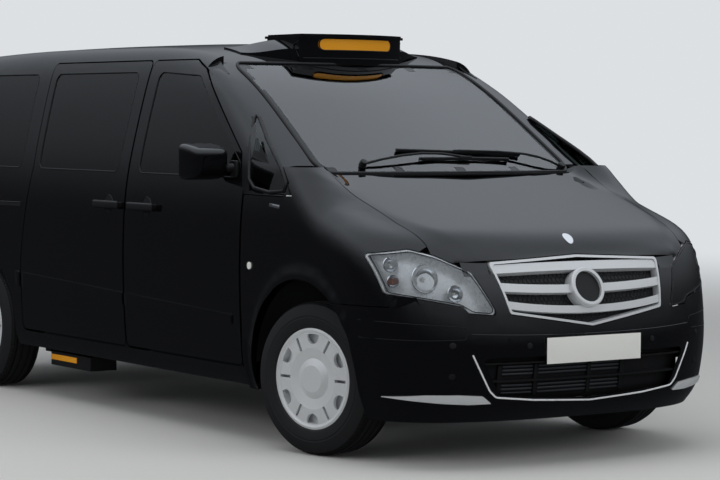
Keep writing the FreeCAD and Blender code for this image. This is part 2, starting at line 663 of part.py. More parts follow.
door_frame = door_frame.cut(slab(size("pillar_top_ahead"), size("corner_start_ahead"), -OUTER, 0, pillar_foot,
                                 size("sign_top_z")))
door_frame = door_frame.cut(arch_cut(REAR_ARCH, size("arch_radius"), size("wall_thickness") * 3))
wall = wall.fuse(door_frame)
pillar = pillar.cut(side_prism(open_ring(front_outline, GAP / 2), CORNER, INNER, OUTER))
pillar = pillar.cut(side_prism(quarter_pane, size("pane_radius") * 0.3, INNER, OUTER))
# the pillar is thin behind the door's front edge, where the open door turns in
swing_stations = spread(size("door_front_ahead") - CORNER, size("door_front_ahead") + CORNER * 2, 5)
swing_room = skin(cabin_field, ray_side, swing_stations, spread(theta_high * 0.1, theta_high * 0.6, 7),
                  size("frame_thickness") * 1.5, size("skin_thickness"))
pillar = pillar.cut(swing_room.common(slab(size("door_front_ahead"), size("door_front_ahead") + CORNER, -OUTER, 0,
                                           pillar_foot - CORNER, size("door_front_top_z") + GAP * 3)))
pillar = sorted(pillar.Solids, key=lambda s: -s.Volume)[0]

# doors and their panes

pane_stations = spread(size("rear_pane_rear_ahead") - GAP * 6, size("quarter_front_ahead") + GAP * 2, 25)
pane_angles = spread(theta_high * 0.2, theta_high * 0.93, 9)
glass = skin(cabin_field, ray_side, pane_stations, pane_angles, size("glass_thickness"), GAP / 2)


def door_depth(s, y, z):
    """Doors are thin round the pane and full depth below the belt."""
    share = ease((size("pane_low_z") + CORNER - z) / (size("pane_low_z") - size("side_z_waist")))
    return size("frame_thickness") + (size("door_thickness") - size("frame_thickness")) * share


def pane(outline, radius):
    return glass.common(side_prism(shifted(outline, -SEAT), radius, INNER, OUTER))


def door(outline, hole):
    low = [p[0] for p in outline]
    first = min(low) - GAP
    last = max(low) + GAP
    stations = spread(first, last, 13)
    solid = skin(cabin_field, ray_side, stations, spread(theta_low * 0.9, theta_high * 0.96, 19), door_depth)
    solid = solid.common(side_prism(shifted(outline, -GAP / 2), CORNER * 0.8, INNER, OUTER))
    solid = solid.cut(side_prism(hole, size("pane_radius"), INNER, OUTER))
    return solid


front_door = door(front_outline, front_pane)
slide_door = door(slide_outline, slide_pane)
add("front_door_right", front_door)
add("front_door_left", mirrored(front_door))
add("sliding_doors", Part.makeCompound([slide_door, mirrored(slide_door)]))
front_glass = pane(front_pane, size("pane_radius"))
add("front_door_glass_right", front_glass)
add("front_door_glass_left", mirrored(front_glass))
slide_glass = pane(slide_pane, size("pane_radius"))
fixed_glass = pane(rear_pane, size("pane_radius"))
quarter_glass = pane(quarter_pane, size("pane_radius") * 0.3)
side_glass = Part.makeCompound([slide_glass, mirrored(slide_glass)])
add("sliding_door_glass", side_glass)
add("fixed_side_glass", Part.makeCompound([fixed_glass, mirrored(fixed_glass), quarter_glass,
                                           mirrored(quarter_glass)]))

# roof, windscreen and tailgate

roof_height = size("roof_z_header") - size("side_z_waist")
roof_rear_angle = math.atan2(size("tail_s_crest") - GAP * 4 - size("roof_fan_ahead"), size("roof_z_tail") - GAP * 2
                             - size("side_z_waist"))
roof_front_angle = math.atan2(size("roof_s_header") + GAP * 2 - size("roof_fan_ahead"), roof_height)
roof = skin(upper_field, ray_roof, spread(roof_rear_angle, roof_front_angle, 27),
            spread(-size("rail_half") + SEAT, size("rail_half") - SEAT, 15), size("roof_thickness"))
screen_top = size("screen_top_z")
screen_rows = spread(size("screen_low_z"), screen_top, 11)
screen_all = skin(upper_field, ray_screen, spread(-size("screen_base_half"), size("screen_base_half"), 15),
                  screen_rows, size("glass_thickness") * 3)
screen_tool = front_prism(screen_outline, CORNER * 1.3, size("roof_s_middle"), size("corner_start_ahead"))
windscreen = skin(upper_field, ray_screen, spread(-size("screen_base_half") - GAP, size("screen_base_half") + GAP, 15),
                  screen_rows, size("glass_thickness"), GAP / 7).common(screen_tool)
roof = roof.cut(slab(size("roof_s_front"), 0, -OUTER, OUTER, 0, HEADER_Z + SEAT))
add("windscreen", windscreen)

gate_half = size("side_y_upper") * 0.93
gate_low = size("tail_z_bumper") + GAP * 14
gate_outline = [(-gate_half, gate_low), (-gate_half, size("side_z_belt")), (-gate_half * 0.93, size("roof_z_tail") - GAP * 5),
                (gate_half * 0.93, size("roof_z_tail") - GAP * 5), (gate_half, size("side_z_belt")), (gate_half, gate_low)]
gate_hole = [(-gate_half * 0.84, size("pane_low_z")), (-gate_half * 0.78, size("pane_top_z") - GAP * 3),
             (gate_half * 0.78, size("pane_top_z") - GAP * 3), (gate_half * 0.84, size("pane_low_z"))]
corner_angle = math.atan2(size("side_y_upper"), size("roof_s_back") - size("tail_corner_start_ahead"))
tail_us = spread(math.pi - corner_angle, math.pi + corner_angle, 25)
tail_vs = spread(gate_low - GAP * 3, size("roof_z_tail") - GAP * 6, 15)
rear_reach = (size("tail_s_bumper") - CORNER, size("roof_s_back"))
roof = roof.cut(front_prism(shifted(gate_outline, GAP / 2), CORNER, size("tail_s_bumper") - CORNER,
                            size("tail_s_crest") + size("shut_radius") * 5))
for side in (-1, 1):
    lug_y = side * size("gate_lug_y")
    lug_edge = lug_y + side * size("lug_width") / 2
    seat_point = under_skin(cabin_field, (size("roof_s_back"), lug_edge, size("gate_lug_z")), (-1.0, 0.0, 0.0),
                            size("frame_thickness"))
    hinge_lug = slab(seat_point.x + SEAT, size("gate_arm_ahead") + size("lug_height"), lug_y - size("lug_width") / 2,
                     lug_y + size("lug_width") / 2, seat_point.z - size("lug_height") / 2, seat_point.z)
    hinge_lug = hinge_lug.fuse(slab(
        size("gate_arm_ahead"), size("gate_arm_ahead") + size("lug_height"), lug_y - size("lug_width") / 2,
        lug_y + size("lug_width") / 2, seat_point.z - size("lug_height") / 2, size("roof_z_tail") - GAP * 2))
    roof = roof.fuse(hinge_lug)
add("roof_panel", roof)
gate = skin(cabin_field, ray_back, tail_us, tail_vs, size("frame_thickness"))
gate = gate.common(front_prism(shifted(gate_outline, -GAP / 2), CORNER, *rear_reach))
gate = gate.cut(front_prism(gate_hole, CORNER, *rear_reach))
gate_glass = skin(cabin_field, ray_back, tail_us, tail_vs, size("glass_thickness"), GAP / 2)
gate_glass = gate_glass.common(front_prism(shifted(gate_hole, -SEAT), CORNER, *rear_reach))
add("tailgate", gate)
add("tailgate_glass", gate_glass)


rear_all = skin(cabin_field, ray_back, tail_us, tail_vs, size("frame_thickness"))
rear_all = rear_all.cut(slab(tail_side - SEAT, size("roof_s_back") * 0.5, -OUTER, OUTER, 0, size("sign_top_z") * 2))
rear_all = rear_all.cut(front_prism(shifted(gate_outline, GAP / 2), CORNER, *rear_reach))
tail_reach = (size("tail_s_bumper") - CORNER, size("tail_s_crest") + size("shut_radius") * 5)
wall = wall.cut(front_prism(shifted(gate_outline, GAP / 2), CORNER, *tail_reach))
hinge_pillar = slab(size("door_front_ahead") + GAP, size("door_front_ahead") + size("pillar_depth"),
                    -size("pillar_outer"), -size("pillar_inner"), size("side_z_sill"), size("quarter_low_z"))
for lug_z in (size("side_z_rub"), size("side_z_waist")):
    skin_y = side_width(lug_z)
    hinge_pillar = hinge_pillar.fuse(slab(
        size("door_front_ahead") - size("lug_width"), size("door_front_ahead") + size("lug_width"),
        -(skin_y - size("door_thickness") - SEAT * 4), -size("pillar_inner"), lug_z - size("lug_height") / 2,
        lug_z + size("lug_height") / 2))
    hinge_pillar = hinge_pillar.fuse(slab(
        size("door_front_ahead") + size("pillar_depth") * 0.9, size("door_front_ahead") + size("lug_width") * 2.3,
        -(skin_y - size("skin_thickness") - SEAT * 5), -size("pillar_inner"), lug_z - size("lug_height") / 2,
        lug_z + size("lug_height") / 2))
sill_joint = slab(size("door_front_ahead") - size("lug_width"), size("door_front_ahead") + size("pillar_depth"),
                  -size("pillar_outer") - GAP, -size("pillar_inner"), size("sill_bottom_z") + GAP * 3,
                  size("door_bottom_z") - GAP)
wall = wall.cut(slab(size("door_front_ahead") - GAP / 2, size("door_front_ahead") + GAP * 2, -OUTER,
                     -size("pillar_outer") - GAP, size("door_bottom_z") - GAP / 2, pillar_foot + GAP))
wall = wall.fuse(hinge_pillar.fuse(sill_joint))
wall = sorted(wall.Solids, key=lambda s: -s.Volume)[0]
tail_lamp_outline = [(-size("tail_lamp_inner"), size("tail_lamp_low_z")), (-size("tail_lamp_outer"), size("tail_lamp_low_z")),
                     (-size("tail_lamp_outer") + GAP, size("tail_lamp_top_z")),
                     (-size("tail_lamp_inner"), size("tail_lamp_top_z"))]
tail_lamp = skin(cabin_field, ray_back, tail_us, tail_vs, size("frame_thickness") / 2)
tail_lamp = tail_lamp.common(front_prism(tail_lamp_outline, GAP * 2, *rear_reach))
lamp_room = skin(cabin_field, ray_back, tail_us, tail_vs, size("frame_thickness"), -size("frame_thickness") / 2 + SEAT)
lamp_room = lamp_room.common(front_prism(shifted(tail_lamp_outline, SEAT), GAP * 2, *rear_reach))
rear_all = rear_all.cut(lamp_room).cut(mirrored(lamp_room))
wall = wall.cut(lamp_room)
wall = sorted(wall.Solids, key=lambda s: -s.Volume)[0]
add("tail_lamps", Part.makeCompound([tail_lamp, mirrored(tail_lamp)]))
add("body_sides", Part.makeCompound(wall.Solids + mirrored(wall).Solids + rear_all.Solids
                                    + [pillar, mirrored(pillar)]))

# bonnet, wings, lamps, grille and bumpers

nose_angles = spread(-math.atan2(size("corner_start_ahead") * 0.6 - size("bonnet_s_rear"),
                                 size("bonnet_z_rear") - size("nose_z_grille")), math.radians(78), 19)
bonnet_all = skin(lower_field, ray_nose, nose_angles, spread(-size("bonnet_side_rear") - GAP * 3,
                  size("bonnet_side_rear") + GAP * 3, 41), size("lid_thickness"))
bonnet_plan = [
    (size("bonnet_rear_mid_ahead"), 0.0), (size("bonnet_rear_quarter_ahead"), size("bonnet_side_rear") / 2),
    (size("bonnet_s_rear"), size("bonnet_side_rear")), (size("bonnet_s_mid"), size("bonnet_side_mid")),
    (size("bonnet_fore_ahead"), size("bonnet_side_fore")), (size("nose_s_plate"), size("bonnet_side_fore")),
]
bonnet_plan = bonnet_plan + [(s, -y) for s, y in reversed(bonnet_plan[1:])]
bonnet_tool = plan_prism(shifted(bonnet_plan, -GAP / 2), GAP * 2, size("sill_bottom_z"), size("sign_top_z"))
lamp_half = [(size("lamp_%s_y" % n), size("lamp_%s_z" % n)) for n in (
    "rear", "top", "peak", "crown", "tip", "step", "notch", "low")]
lamp_right = [(-y, z) for y, z in lamp_half]
lamp_reach = (size("corner_start_ahead"), size("nose_s_plate") + CORNER)
lamp_tool = front_prism(lamp_right, GAP * 2, *lamp_reach)
lamp_gap_tool = front_prism(shifted(lamp_right, GAP * 0.6), GAP * 2.4, *lamp_reach)
grille_half = [(size("grille_top_y"), size("grille_top_z")), (size("grille_low_y"), size("grille_low_z"))]
grille_outline = [(0.0, size("grille_mid_top_z"))] + grille_half + [(0.0, size("grille_mid_low_z"))]
grille_outline = grille_outline + [(-y, z) for y, z in reversed(grille_half)]
grille_gap_tool = front_prism(shifted(grille_outline, GAP * 0.6), GAP * 3, *lamp_reach)
lamp_under = [(-size("lamp_rear_y") * 1.2, size("lamp_rear_z")), (-size("lamp_top_y"), size("lamp_top_z")),
              (-size("lamp_peak_y"), size("lamp_peak_z")), (-size("lamp_crown_y"), size("lamp_crown_z")),
              (-size("grille_top_y"), size("grille_top_z")), (0.0, size("grille_mid_top_z"))]
below = lamp_under + [(-y, z) for y, z in reversed(lamp_under[:-1])]
below = below + [(OUTER, size("sill_bottom_z")), (-OUTER, size("sill_bottom_z"))]
below_tool = front_prism(shifted(below, GAP * 0.6), GAP, *lamp_reach)
bonnet = bonnet_all.common(bonnet_tool).cut(below_tool)
add("bonnet", bonnet)

wing_angles = spread(math.radians(2), math.radians(97), 17)


def ray_wing(s, angle):
    base = (s, -size("bonnet_side_fore") * 0.55, size("lamp_low_z"))
    return base, (0.0, -math.sin(angle), math.cos(angle))


wing_stations = spread(size("door_front_ahead") - GAP * 4, size("wing_front_ahead") + CORNER * 4, 37)
wing_top = skin(lower_field, ray_wing, wing_stations, spread(math.radians(-6), math.radians(134), 33),
                size("skin_thickness"))
wing = wing_top.cut(plan_prism(bonnet_plan, GAP * 2, size("lamp_low_z"), size("sign_top_z")))
wing = wing.cut(slab(size("door_front_ahead") - CORNER, size("bonnet_s_rear") + GAP * 3, -size("screen_base_half") - GAP,
                     0, size("lamp_low_z"), size("sign_top_z")))
wing = wing.cut(arch_cut(FRONT_ARCH, size("arch_radius"), size("arch_depth")))
wing = wing.cut(lamp_gap_tool)
nose_split = slab(0, size("nose_s_plate") * 1.1, -OUTER, OUTER, size("sill_bottom_z") - CORNER, size("wing_split_z"))
wing = wing.cut(nose_split)
wing = wing.common(slab(size("door_front_ahead") + GAP / 2, size("nose_s_plate"), -OUTER, -size("lamp_tip_y"),
                        size("sill_bottom_z"), size("sign_top_z")))
wing = wing.common(side_prism(shifted(wing_back, -GAP / 2), GAP, 0, OUTER))
wing_solids = sorted(wing.Solids, key=lambda s: -s.Volume)
wing = wing_solids[0]
add("front_wings", Part.makeCompound([wing, mirrored(wing)]))

half_turn = math.atan2(size("side_y_sill"), size("bumper_rear_ahead") - size("corner_start_ahead") * 0.5)
bumper_turn = math.atan2(size("side_y_sill"), size("flare_depth") * 2 - size("corner_start_ahead") * 0.5)
bumper_angles = spread(-bumper_turn, bumper_turn, 61)
front_skin = skin(lower_field, ray_plan, bumper_angles, spread(size("bumper_low_z"), size("lamp_peak_z"), 25),
                  size("bumper_thickness"))
bumper = front_skin.cut(lamp_gap_tool).cut(mirrored(lamp_gap_tool)).cut(grille_gap_tool)
split_z = size("wing_split_z") - GAP / 2
above = front_prism([(-OUTER, split_z), (-size("lamp_low_y") + CORNER, split_z),
                     (-size("lamp_notch_y"), size("lamp_crown_z")), (size("lamp_notch_y"), size("lamp_crown_z")),
                     (size("lamp_low_y") - CORNER, split_z), (OUTER, split_z),
                     (OUTER, size("sign_top_z")), (-OUTER, size("sign_top_z"))], GAP, 0, size("nose_s_plate") + CORNER)
bumper = bumper.cut(above)
intake_outline = [(-size("intake_half"), size("intake_top_z")), (size("intake_half"), size("intake_top_z")),
                  (size("intake_low_half"), size("intake_low_z")), (0.0, size("intake_mid_low_z")),
                  (-size("intake_low_half"), size("intake_low_z"))]
bumper = bumper.cut(front_prism(intake_outline, GAP * 3, *lamp_reach))
side_keep = side_prism([(0, size("bumper_low_z") - CORNER), (0, size("nose_z_shelf") + CORNER * 2),
                        (size("wing_front_ahead") + CORNER + GAP, size("lamp_low_z") + GAP * 3),
                        (size("nose_s_plate") * 1.1, size("lamp_crown_z") + CORNER),
                        (size("nose_s_plate") * 1.1, size("bumper_low_z") - CORNER)], GAP, -OUTER, OUTER)
bumper = bumper.common(side_keep)
for arch in (arch_cut(FRONT_ARCH, size("arch_radius"), size("arch_depth")),):
    bumper = bumper.cut(arch).cut(mirrored(arch))
bumper = sorted(bumper.Solids, key=lambda s: -s.Volume)[0]
bumper_lugs = []
for side in (-1, 1):
    lug_y = side * size("leg_half_spacing")
    lug_z = size("nose_z_plate") + size("lug_width")
    bumper_lugs.append((lug_y, lug_z))

lamp_skin_rows = spread(size("lamp_tip_z") - CORNER, size("lamp_top_z") + CORNER, 13)
lamp_angles = spread(-half_turn, -math.radians(18), 21)
lens = skin(lower_field, ray_plan, lamp_angles, lamp_skin_rows, size("lens_thickness")).common(lamp_tool)
bowl = skin(lower_field, ray_plan, lamp_angles, lamp_skin_rows, size("lamp_thickness"),
            size("lens_thickness") + SEAT).common(lamp_tool)
cavity = front_prism(shifted(lamp_right, -GAP * 0.8), GAP, *lamp_reach)
hollow = skin(lower_field, ray_plan, lamp_angles, lamp_skin_rows, size("lamp_thickness") - size("skin_thickness") * 4,
              size("skin_thickness") / 2).common(cavity)
bowl = bowl.cut(hollow)
bowl = sorted(bowl.Solids, key=lambda s: -s.Volume)[0]
FRAME_FACE = size("front_frame_ahead") + SEAT


def surface_station(y, z):
    """Station of the front surface at a point of the front view."""
    return hit(lower_field, (0.0, y, z), (1.0, 0.0, 0.0))


def front_lug(y, z, depth, start):
    """Block from a front frame face to a depth under the surface."""
    half_w = size("lug_width") / 2
    half_h = size("lug_height") / 2
    return slab(start, surface_station(y, z) - depth, y - half_w, y + half_w, z - half_h, z + half_h)


lamp_lug_y = -size("front_frame_half") - size("lug_width") * 0.2
lamp_lug_z = size("lamp_tip_z") + size("lug_height")
bowl = bowl.fuse(front_lug(lamp_lug_y, lamp_lug_z, size("lamp_thickness") - size("skin_thickness"), FRAME_FACE))
add("headlamp_lenses", Part.makeCompound(lens.Solids + mirrored(lens).Solids))
add("headlamp_housings", Part.makeCompound([bowl, mirrored(bowl)]))

# grille with louvres, ring and frame
grille_angles = spread(-math.radians(50), math.radians(50), 21)
grille_rows = spread(size("grille_mid_low_z") - GAP * 2, size("grille_mid_top_z") + GAP * 2, 11)
grille_tool = front_prism(grille_outline, GAP * 2, *lamp_reach)
mesh = skin(lower_field, ray_plan, grille_angles, grille_rows, size("skin_thickness"),
            size("intake_depth")).common(grille_tool)
trim = skin(lower_field, ray_plan, grille_angles, grille_rows, size("intake_depth") - SEAT, 0.0).common(grille_tool)
trim = trim.cut(front_prism(shifted(grille_outline, -size("louvre_thickness") * 2), GAP * 2, *lamp_reach))
end_angle = math.atan2(size("grille_top_y"), nose_line(size("ring_z")) - size("corner_start_ahead") * 0.5)
louvre_tool = front_prism(shifted(grille_outline, -size("louvre_thickness") * 2 - SEAT), GAP * 2, *lamp_reach)


def ray_louvre(name):
    """Rays that follow a louvre, which hangs lower in the middle than at its ends."""
    end_z = size("louvre_%s_z" % name)
    middle_z = size("louvre_%s_mid_z" % name)
    height = size("louvre_%s_height" % name)

    def ray(angle, share):
        bend = (math.tan(angle) / math.tan(end_angle)) ** 2
        return ray_plan(angle, middle_z + (end_z - middle_z) * bend + height * share)
    return ray


louvres = []
for name in ("high", "middle", "low"):
    band = skin(lower_field, ray_louvre(name), grille_angles, spread(-1 / 2, 1 / 2, 5),
                size("intake_depth") - size("louvre_thickness") - SEAT * 3, size("louvre_thickness"))
    louvres.append(band.common(louvre_tool))
ring_seat = FreeCAD.Vector(nose_line(size("ring_z")), 0, size("ring_z"))
AHEAD = outward(lower_field, tuple(ring_seat))
ring_length = size("intake_depth") + size("ring_depth_front") - SEAT
ring_start = ring_seat - AHEAD * (size("intake_depth") - SEAT)
bore_room = Part.makeCylinder(size("ring_bore"), ring_length * 3, ring_start - AHEAD * ring_length, AHEAD)
ring = Part.makeCylinder(size("ring_radius"), ring_length, ring_start, AHEAD)
ring_front = ring_start + AHEAD * ring_length
ring = ring.makeFillet(size("ring_depth_front") / 2, [e for e in ring.Edges if e.Curve.TypeId == "Part::GeomCircle"
                                                      and (e.Curve.Center - ring_front).Length < STEP])
behind_mesh = skin(lower_field, ray_plan, grille_angles, grille_rows, size("intake_depth") * 2,
                   size("intake_depth") - SEAT)
ring = ring.cut(behind_mesh)
ring = ring.cut(bore_room)
ring_room = Part.makeCylinder(size("ring_radius") + SEAT, ring_length * 3, ring_start - AHEAD * ring_length, AHEAD)
grille = trim.Solids + ring.Solids
for band in louvres:
    grille = grille + band.cut(ring_room).Solids
add("grille", Part.makeCompound(grille))
disc = Part.makeCylinder(size("ring_bore") - SEAT, ring_length - size("ring_depth_front"), ring_start, AHEAD)
mesh = mesh.fuse(disc)
louvre_room = skin(lower_field, ray_plan, grille_angles, grille_rows, size("intake_depth"), 0.0)
for side in (-1, 1):
    lug_y = side * size("grille_low_y") * 0.6
    mesh_lug = front_lug(lug_y, size("ring_z"), size("intake_depth") + size("skin_thickness") / 2, FRAME_FACE)
    mesh = mesh.fuse(mesh_lug.cut(louvre_room))
add("grille_mesh", mesh)

slats = []
for name in ("upper", "lower"):
    middle = size("slat_%s_z" % name)
    slats.append(skin(lower_field, ray_plan, grille_angles, spread(middle - GAP / 2, middle + GAP / 2, 4),
                      size("intake_depth"), GAP))
back_panel = skin(lower_field, ray_plan, grille_angles, spread(size("intake_mid_low_z") - GAP * 3,
                  size("intake_top_z") + GAP * 3, 7), size("skin_thickness"), size("intake_depth"))
intake_tool = front_prism(shifted(intake_outline, GAP * 2), GAP, *lamp_reach)
intake = back_panel.common(intake_tool)
for slat in slats:
    intake = intake.fuse(slat.common(front_prism(shifted(intake_outline, -GAP / 14), GAP * 2.8, *lamp_reach)))
for side in (-1, 1):
    lug_y = side * size("intake_half") * 0.6
    intake = intake.fuse(front_lug(lug_y, size("leg_lug_z"), size("intake_depth") + size("skin_thickness") / 2,
                                   size("leg_front_ahead") + size("leg_width") / 2 + SEAT))
add("intake_grid", intake)

rear_low = size("tail_z_low")
rear_top = gate_low - GAP * 3
rear_bumper = skin(side_field, ray_back, spread(math.pi - corner_angle, math.pi + corner_angle, 25),
                   spread(rear_low, rear_top, 9), size("bumper_thickness") * 3)
rear_bumper = rear_bumper.cut(slab(tail_side - GAP, size("roof_s_back") * 0.5, -OUTER, OUTER, 0, size("sign_top_z")))
for lug_y, lug_z in bumper_lugs:
    bumper = bumper.fuse(front_lug(lug_y, lug_z, size("bumper_thickness") / 2 + GAP / 7, FRAME_FACE))
    inner_face = hit(side_field, (size("roof_s_back"), lug_y, size("leg_lug_z")), (-1.0, 0.0, 0.0))
    rear_bumper = rear_bumper.fuse(slab(
        size("floor_rear_ahead") - SEAT, size("roof_s_back") - inner_face + size("bumper_thickness"),
        lug_y - size("lug_width"), lug_y + size("lug_width"), size("leg_lug_z") - GAP, size("leg_lug_z") + GAP))
add("bumpers", Part.makeCompound([bumper, rear_bumper]))

# floor, firewall and rails

floor = slab(size("floor_rear_ahead"), size("floor_front_ahead"), -size("floor_half"), size("floor_half"),
             size("floor_z") - size("floor_thickness"), size("floor_z"))
wheel_room = size("arch_radius") + size("liner_gap")
for side in (-1, 1):
    start = FreeCAD.Vector(REAR_ARCH, side * (size("half_track") - size("rear_tub_width") * 0.9), ARCH_Z)
    if side < 0:
        start.y = -OUTER
    hole = Part.makeCylinder(wheel_room, OUTER - (size("half_track") - size("rear_tub_width") * 0.9), start,
                             FreeCAD.Vector(0, 1, 0))
    floor = floor.cut(hole)
firewall = slab(size("floor_front_ahead") - size("toe_thickness"), size("floor_front_ahead"), -size("floor_half"),
                size("floor_half"), size("floor_z") + SEAT, size("quarter_low_z") - size("shut_radius"))
legs = []
for side in (-1, 1):
    rail = slab(size("floor_front_ahead") + SEAT, size("leg_front_ahead"),
                side * size("leg_half_spacing") - size("leg_width") / 2,
                side * size("leg_half_spacing") + size("leg_width") / 2,
                size("floor_z") - size("floor_thickness"), size("floor_z") - size("floor_thickness") + size("leg_height"))
    legs.append(rail)
    start = FreeCAD.Vector(REAR_ARCH, side * (size("half_track") - size("rear_tub_width") * 0.9), ARCH_Z)
    length = size("side_y_rub") - size("wall_thickness") - abs(start.y) - GAP
    axis = FreeCAD.Vector(0, side, 0)
    tub = Part.makeCylinder(wheel_room + size("liner_thickness") * 2, length, start - axis * size("liner_thickness"), axis)
    tub = tub.cut(Part.makeCylinder(wheel_room, length * 2, start, axis))
    tub = tub.common(slab(REAR_ARCH - wheel_room * 2, REAR_ARCH + wheel_room * 2, -OUTER, OUTER,
                          size("floor_z") - size("floor_thickness"), size("sign_top_z")))
    floor = floor.fuse(tub)
bumper_beam = slab(size("leg_front_ahead"), size("leg_front_ahead") + size("leg_width") / 2,
                   -size("leg_half_spacing") * 1.2, size("leg_half_spacing") * 1.2,
                   size("floor_z") - size("floor_thickness"), size("floor_z") - size("floor_thickness") + size("leg_height"))
for side in (-1, 1):
    for station in (size("pad_front_ahead"), size("pad_rear_ahead")):
        middle = side * size("pad_half_spacing")
        floor = floor.fuse(slab(station - size("pad_size") / 2, station + size("pad_size") / 2,
                                middle - size("pad_size") / 2, middle + size("pad_size") / 2,
                                size("pad_bottom_z"), size("floor_z") - size("floor_thickness") / 2))
half = size("front_frame_half")
upright = slab(size("front_frame_ahead") - size("front_frame_depth"), size("front_frame_ahead"), -half, half,
               size("floor_z") - size("floor_thickness"), size("front_frame_top_z"))
hole = slab(0, size("nose_s_plate"), -half + size("leg_width"), -GAP * 3, size("nose_z_plate"),
            size("front_frame_top_z") - size("leg_width"))
upright = upright.cut(hole).cut(mirrored(hole))
chassis_legs = upright.fuse(bumper_beam).fuse(legs[0]).fuse(legs[1])
add("chassis_legs", chassis_legs)
for side in (-1, 1):
    lid_point = under_skin(lower_field, (size("lid_lug_ahead"), side * size("lid_lug_y"), size("side_z_waist")),
                           (0.0, 0.0, 1.0), size("lid_thickness") + SEAT + size("lid_lug_radius"))
    post_low = size("quarter_low_z") - size("shut_radius") - size("lug_width")
    firewall = firewall.fuse(slab(size("floor_front_ahead") - GAP, lid_point.x + size("lid_lug_radius"),
                            lid_point.y - size("lug_height") / 2, lid_point.y + size("lug_height") / 2,
                            post_low, post_low + size("lug_height")))
    firewall = firewall.fuse(Part.makeCylinder(size("lid_lug_radius"), lid_point.z - post_low,
                                               FreeCAD.Vector(lid_point.x, lid_point.y, post_low)))
    firewall = firewall.fuse(Part.makeSphere(size("lid_lug_radius"), lid_point))
add("firewall", firewall)
for side in (-1, 1):
    for station in (size("pad_front_ahead"), size("pad_rear_ahead")):
        inner_y = side_width(size("side_z_low") + size("leg_height") * 0.75) - size("wall_thickness") * 1.12
        floor = floor.fuse(slab(station - size("pad_size") / 2, station + size("pad_size") / 2,
                                side * size("pad_half_spacing"), side * inner_y,
                                size("side_z_low") + size("leg_height") * 0.75, size("door_bottom_z") - GAP * 2))
    for station in (size("door_split_ahead") - size("seat_depth") * 0.8, size("slide_rear_low_ahead") + size("seat_depth") * 0.6):
        inner_y = side_width(size("leg_lug_z")) - size("door_thickness") - SEAT * 4
        floor = floor.fuse(slab(station - size("lug_width"), station + size("lug_width"), side * size("pad_half_spacing"),
                                side * inner_y, size("leg_lug_z") - GAP, size("leg_lug_z") + GAP))
    step_y = side * (size("side_y_low") - size("step_depth") / 2)
    floor = floor.fuse(slab(size("step_ahead") - size("lug_width"), size("step_ahead") + size("lug_width"),
                            step_y - side * size("lug_width"), step_y + side * size("lug_height"),
                            size("step_z") + size("step_height") + SEAT, size("floor_z") - size("floor_thickness") / 2))
add("floor_pan", floor)

# wheels, built at their own centres


def place(node, **bindings):
    for path, expression in bindings.items():
        node.setExpression("Placement." + path.replace("_dot_", "."), expression)


def revolve_profile(points, closed=True):
    corners = [FreeCAD.Vector(r, y, 0) for r, y in points]
    corners.append(corners[0])
    face = Part.Face(Part.makePolygon(corners))
    return face.revolve(FreeCAD.Vector(0, 0, 0), FreeCAD.Vector(0, 1, 0), 360)


half_tyre = size("tyre_width") / 2
shoulder = size("tyre_shoulder")
tyre_shape = revolve_profile([
    (size("tyre_bore_radius") + SEAT, -size("rim_width") / 2 + GAP + SEAT),
    (size("tyre_bore_radius") + size("rim_wall") * 2.2 + SEAT, -size("rim_width") / 2 + SEAT),
    (size("tyre_radius") - shoulder * 2.6, -half_tyre), (size("tyre_radius") - shoulder, -half_tyre + GAP),
    (size("tyre_radius") - GAP, -half_tyre + shoulder), (size("tyre_radius"), -half_tyre + shoulder * 2),
    (size("tyre_radius"), half_tyre - shoulder * 2), (size("tyre_radius") - GAP, half_tyre - shoulder),
    (size("tyre_radius") - shoulder, half_tyre - GAP), (size("tyre_radius") - shoulder * 2.6, half_tyre),
    (size("tyre_bore_radius") + size("rim_wall") * 2.2 + SEAT, size("rim_width") / 2 - SEAT),
    (size("tyre_bore_radius") + SEAT, size("rim_width") / 2 - GAP - SEAT)])

# the outer side of every wheel is its +Y side before it is placed
wall_y = size("rim_width") / 2
bore = size("tyre_bore_radius")
disc_back = size("cover_offset") - size("cover_depth") * 1.4
disc_front = size("cover_offset") - size("cover_depth")
rim_shape = revolve_profile([
    (bore + size("rim_wall") * 2.2, -wall_y), (bore - size("rim_wall"), -wall_y),
    (bore - size("rim_wall"), disc_back), (size("hub_radius"), disc_back),
    (size("hub_radius"), size("cover_offset") + GAP / 3), (size("hub_radius") + GAP, size("cover_offset") + GAP / 3),
    (size("hub_radius") + GAP, disc_front), (bore - size("rim_wall"), disc_front),
    (bore - size("rim_wall"), wall_y), (bore + size("rim_wall") * 2.2, wall_y), (bore, wall_y - GAP),
    (bore, -wall_y + GAP)])
cover_shape = revolve_profile([
    (0, size("cover_offset")), (0, size("cover_offset") + size("cover_depth") * 1.6),
    (size("cover_cap_radius") * 0.8, size("cover_offset") + size("cover_depth") * 1.6),
    (size("cover_cap_radius"), size("cover_offset") + size("cover_depth") * 1.2),
    (size("cover_cap_radius") * 1.2, size("cover_offset") + size("cover_depth") * 0.7),
    (size("slit_inner_radius"), size("cover_offset") + size("cover_depth") * 1.3),
    (size("slit_outer_radius"), size("cover_offset") + size("cover_depth") * 1.1),
    (size("cover_radius"), size("cover_offset") + size("cover_depth") * 1.5),
    (size("rim_lip_radius"), size("cover_offset") + size("cover_depth") * 1.3),
    (size("cover_radius"), size("cover_offset") + size("cover_depth") * 1.05),
    (bore - size("rim_wall") - SEAT, size("cover_offset") + size("cover_depth") * 0.6),
    (size("hub_radius") * 2, size("cover_offset"))])
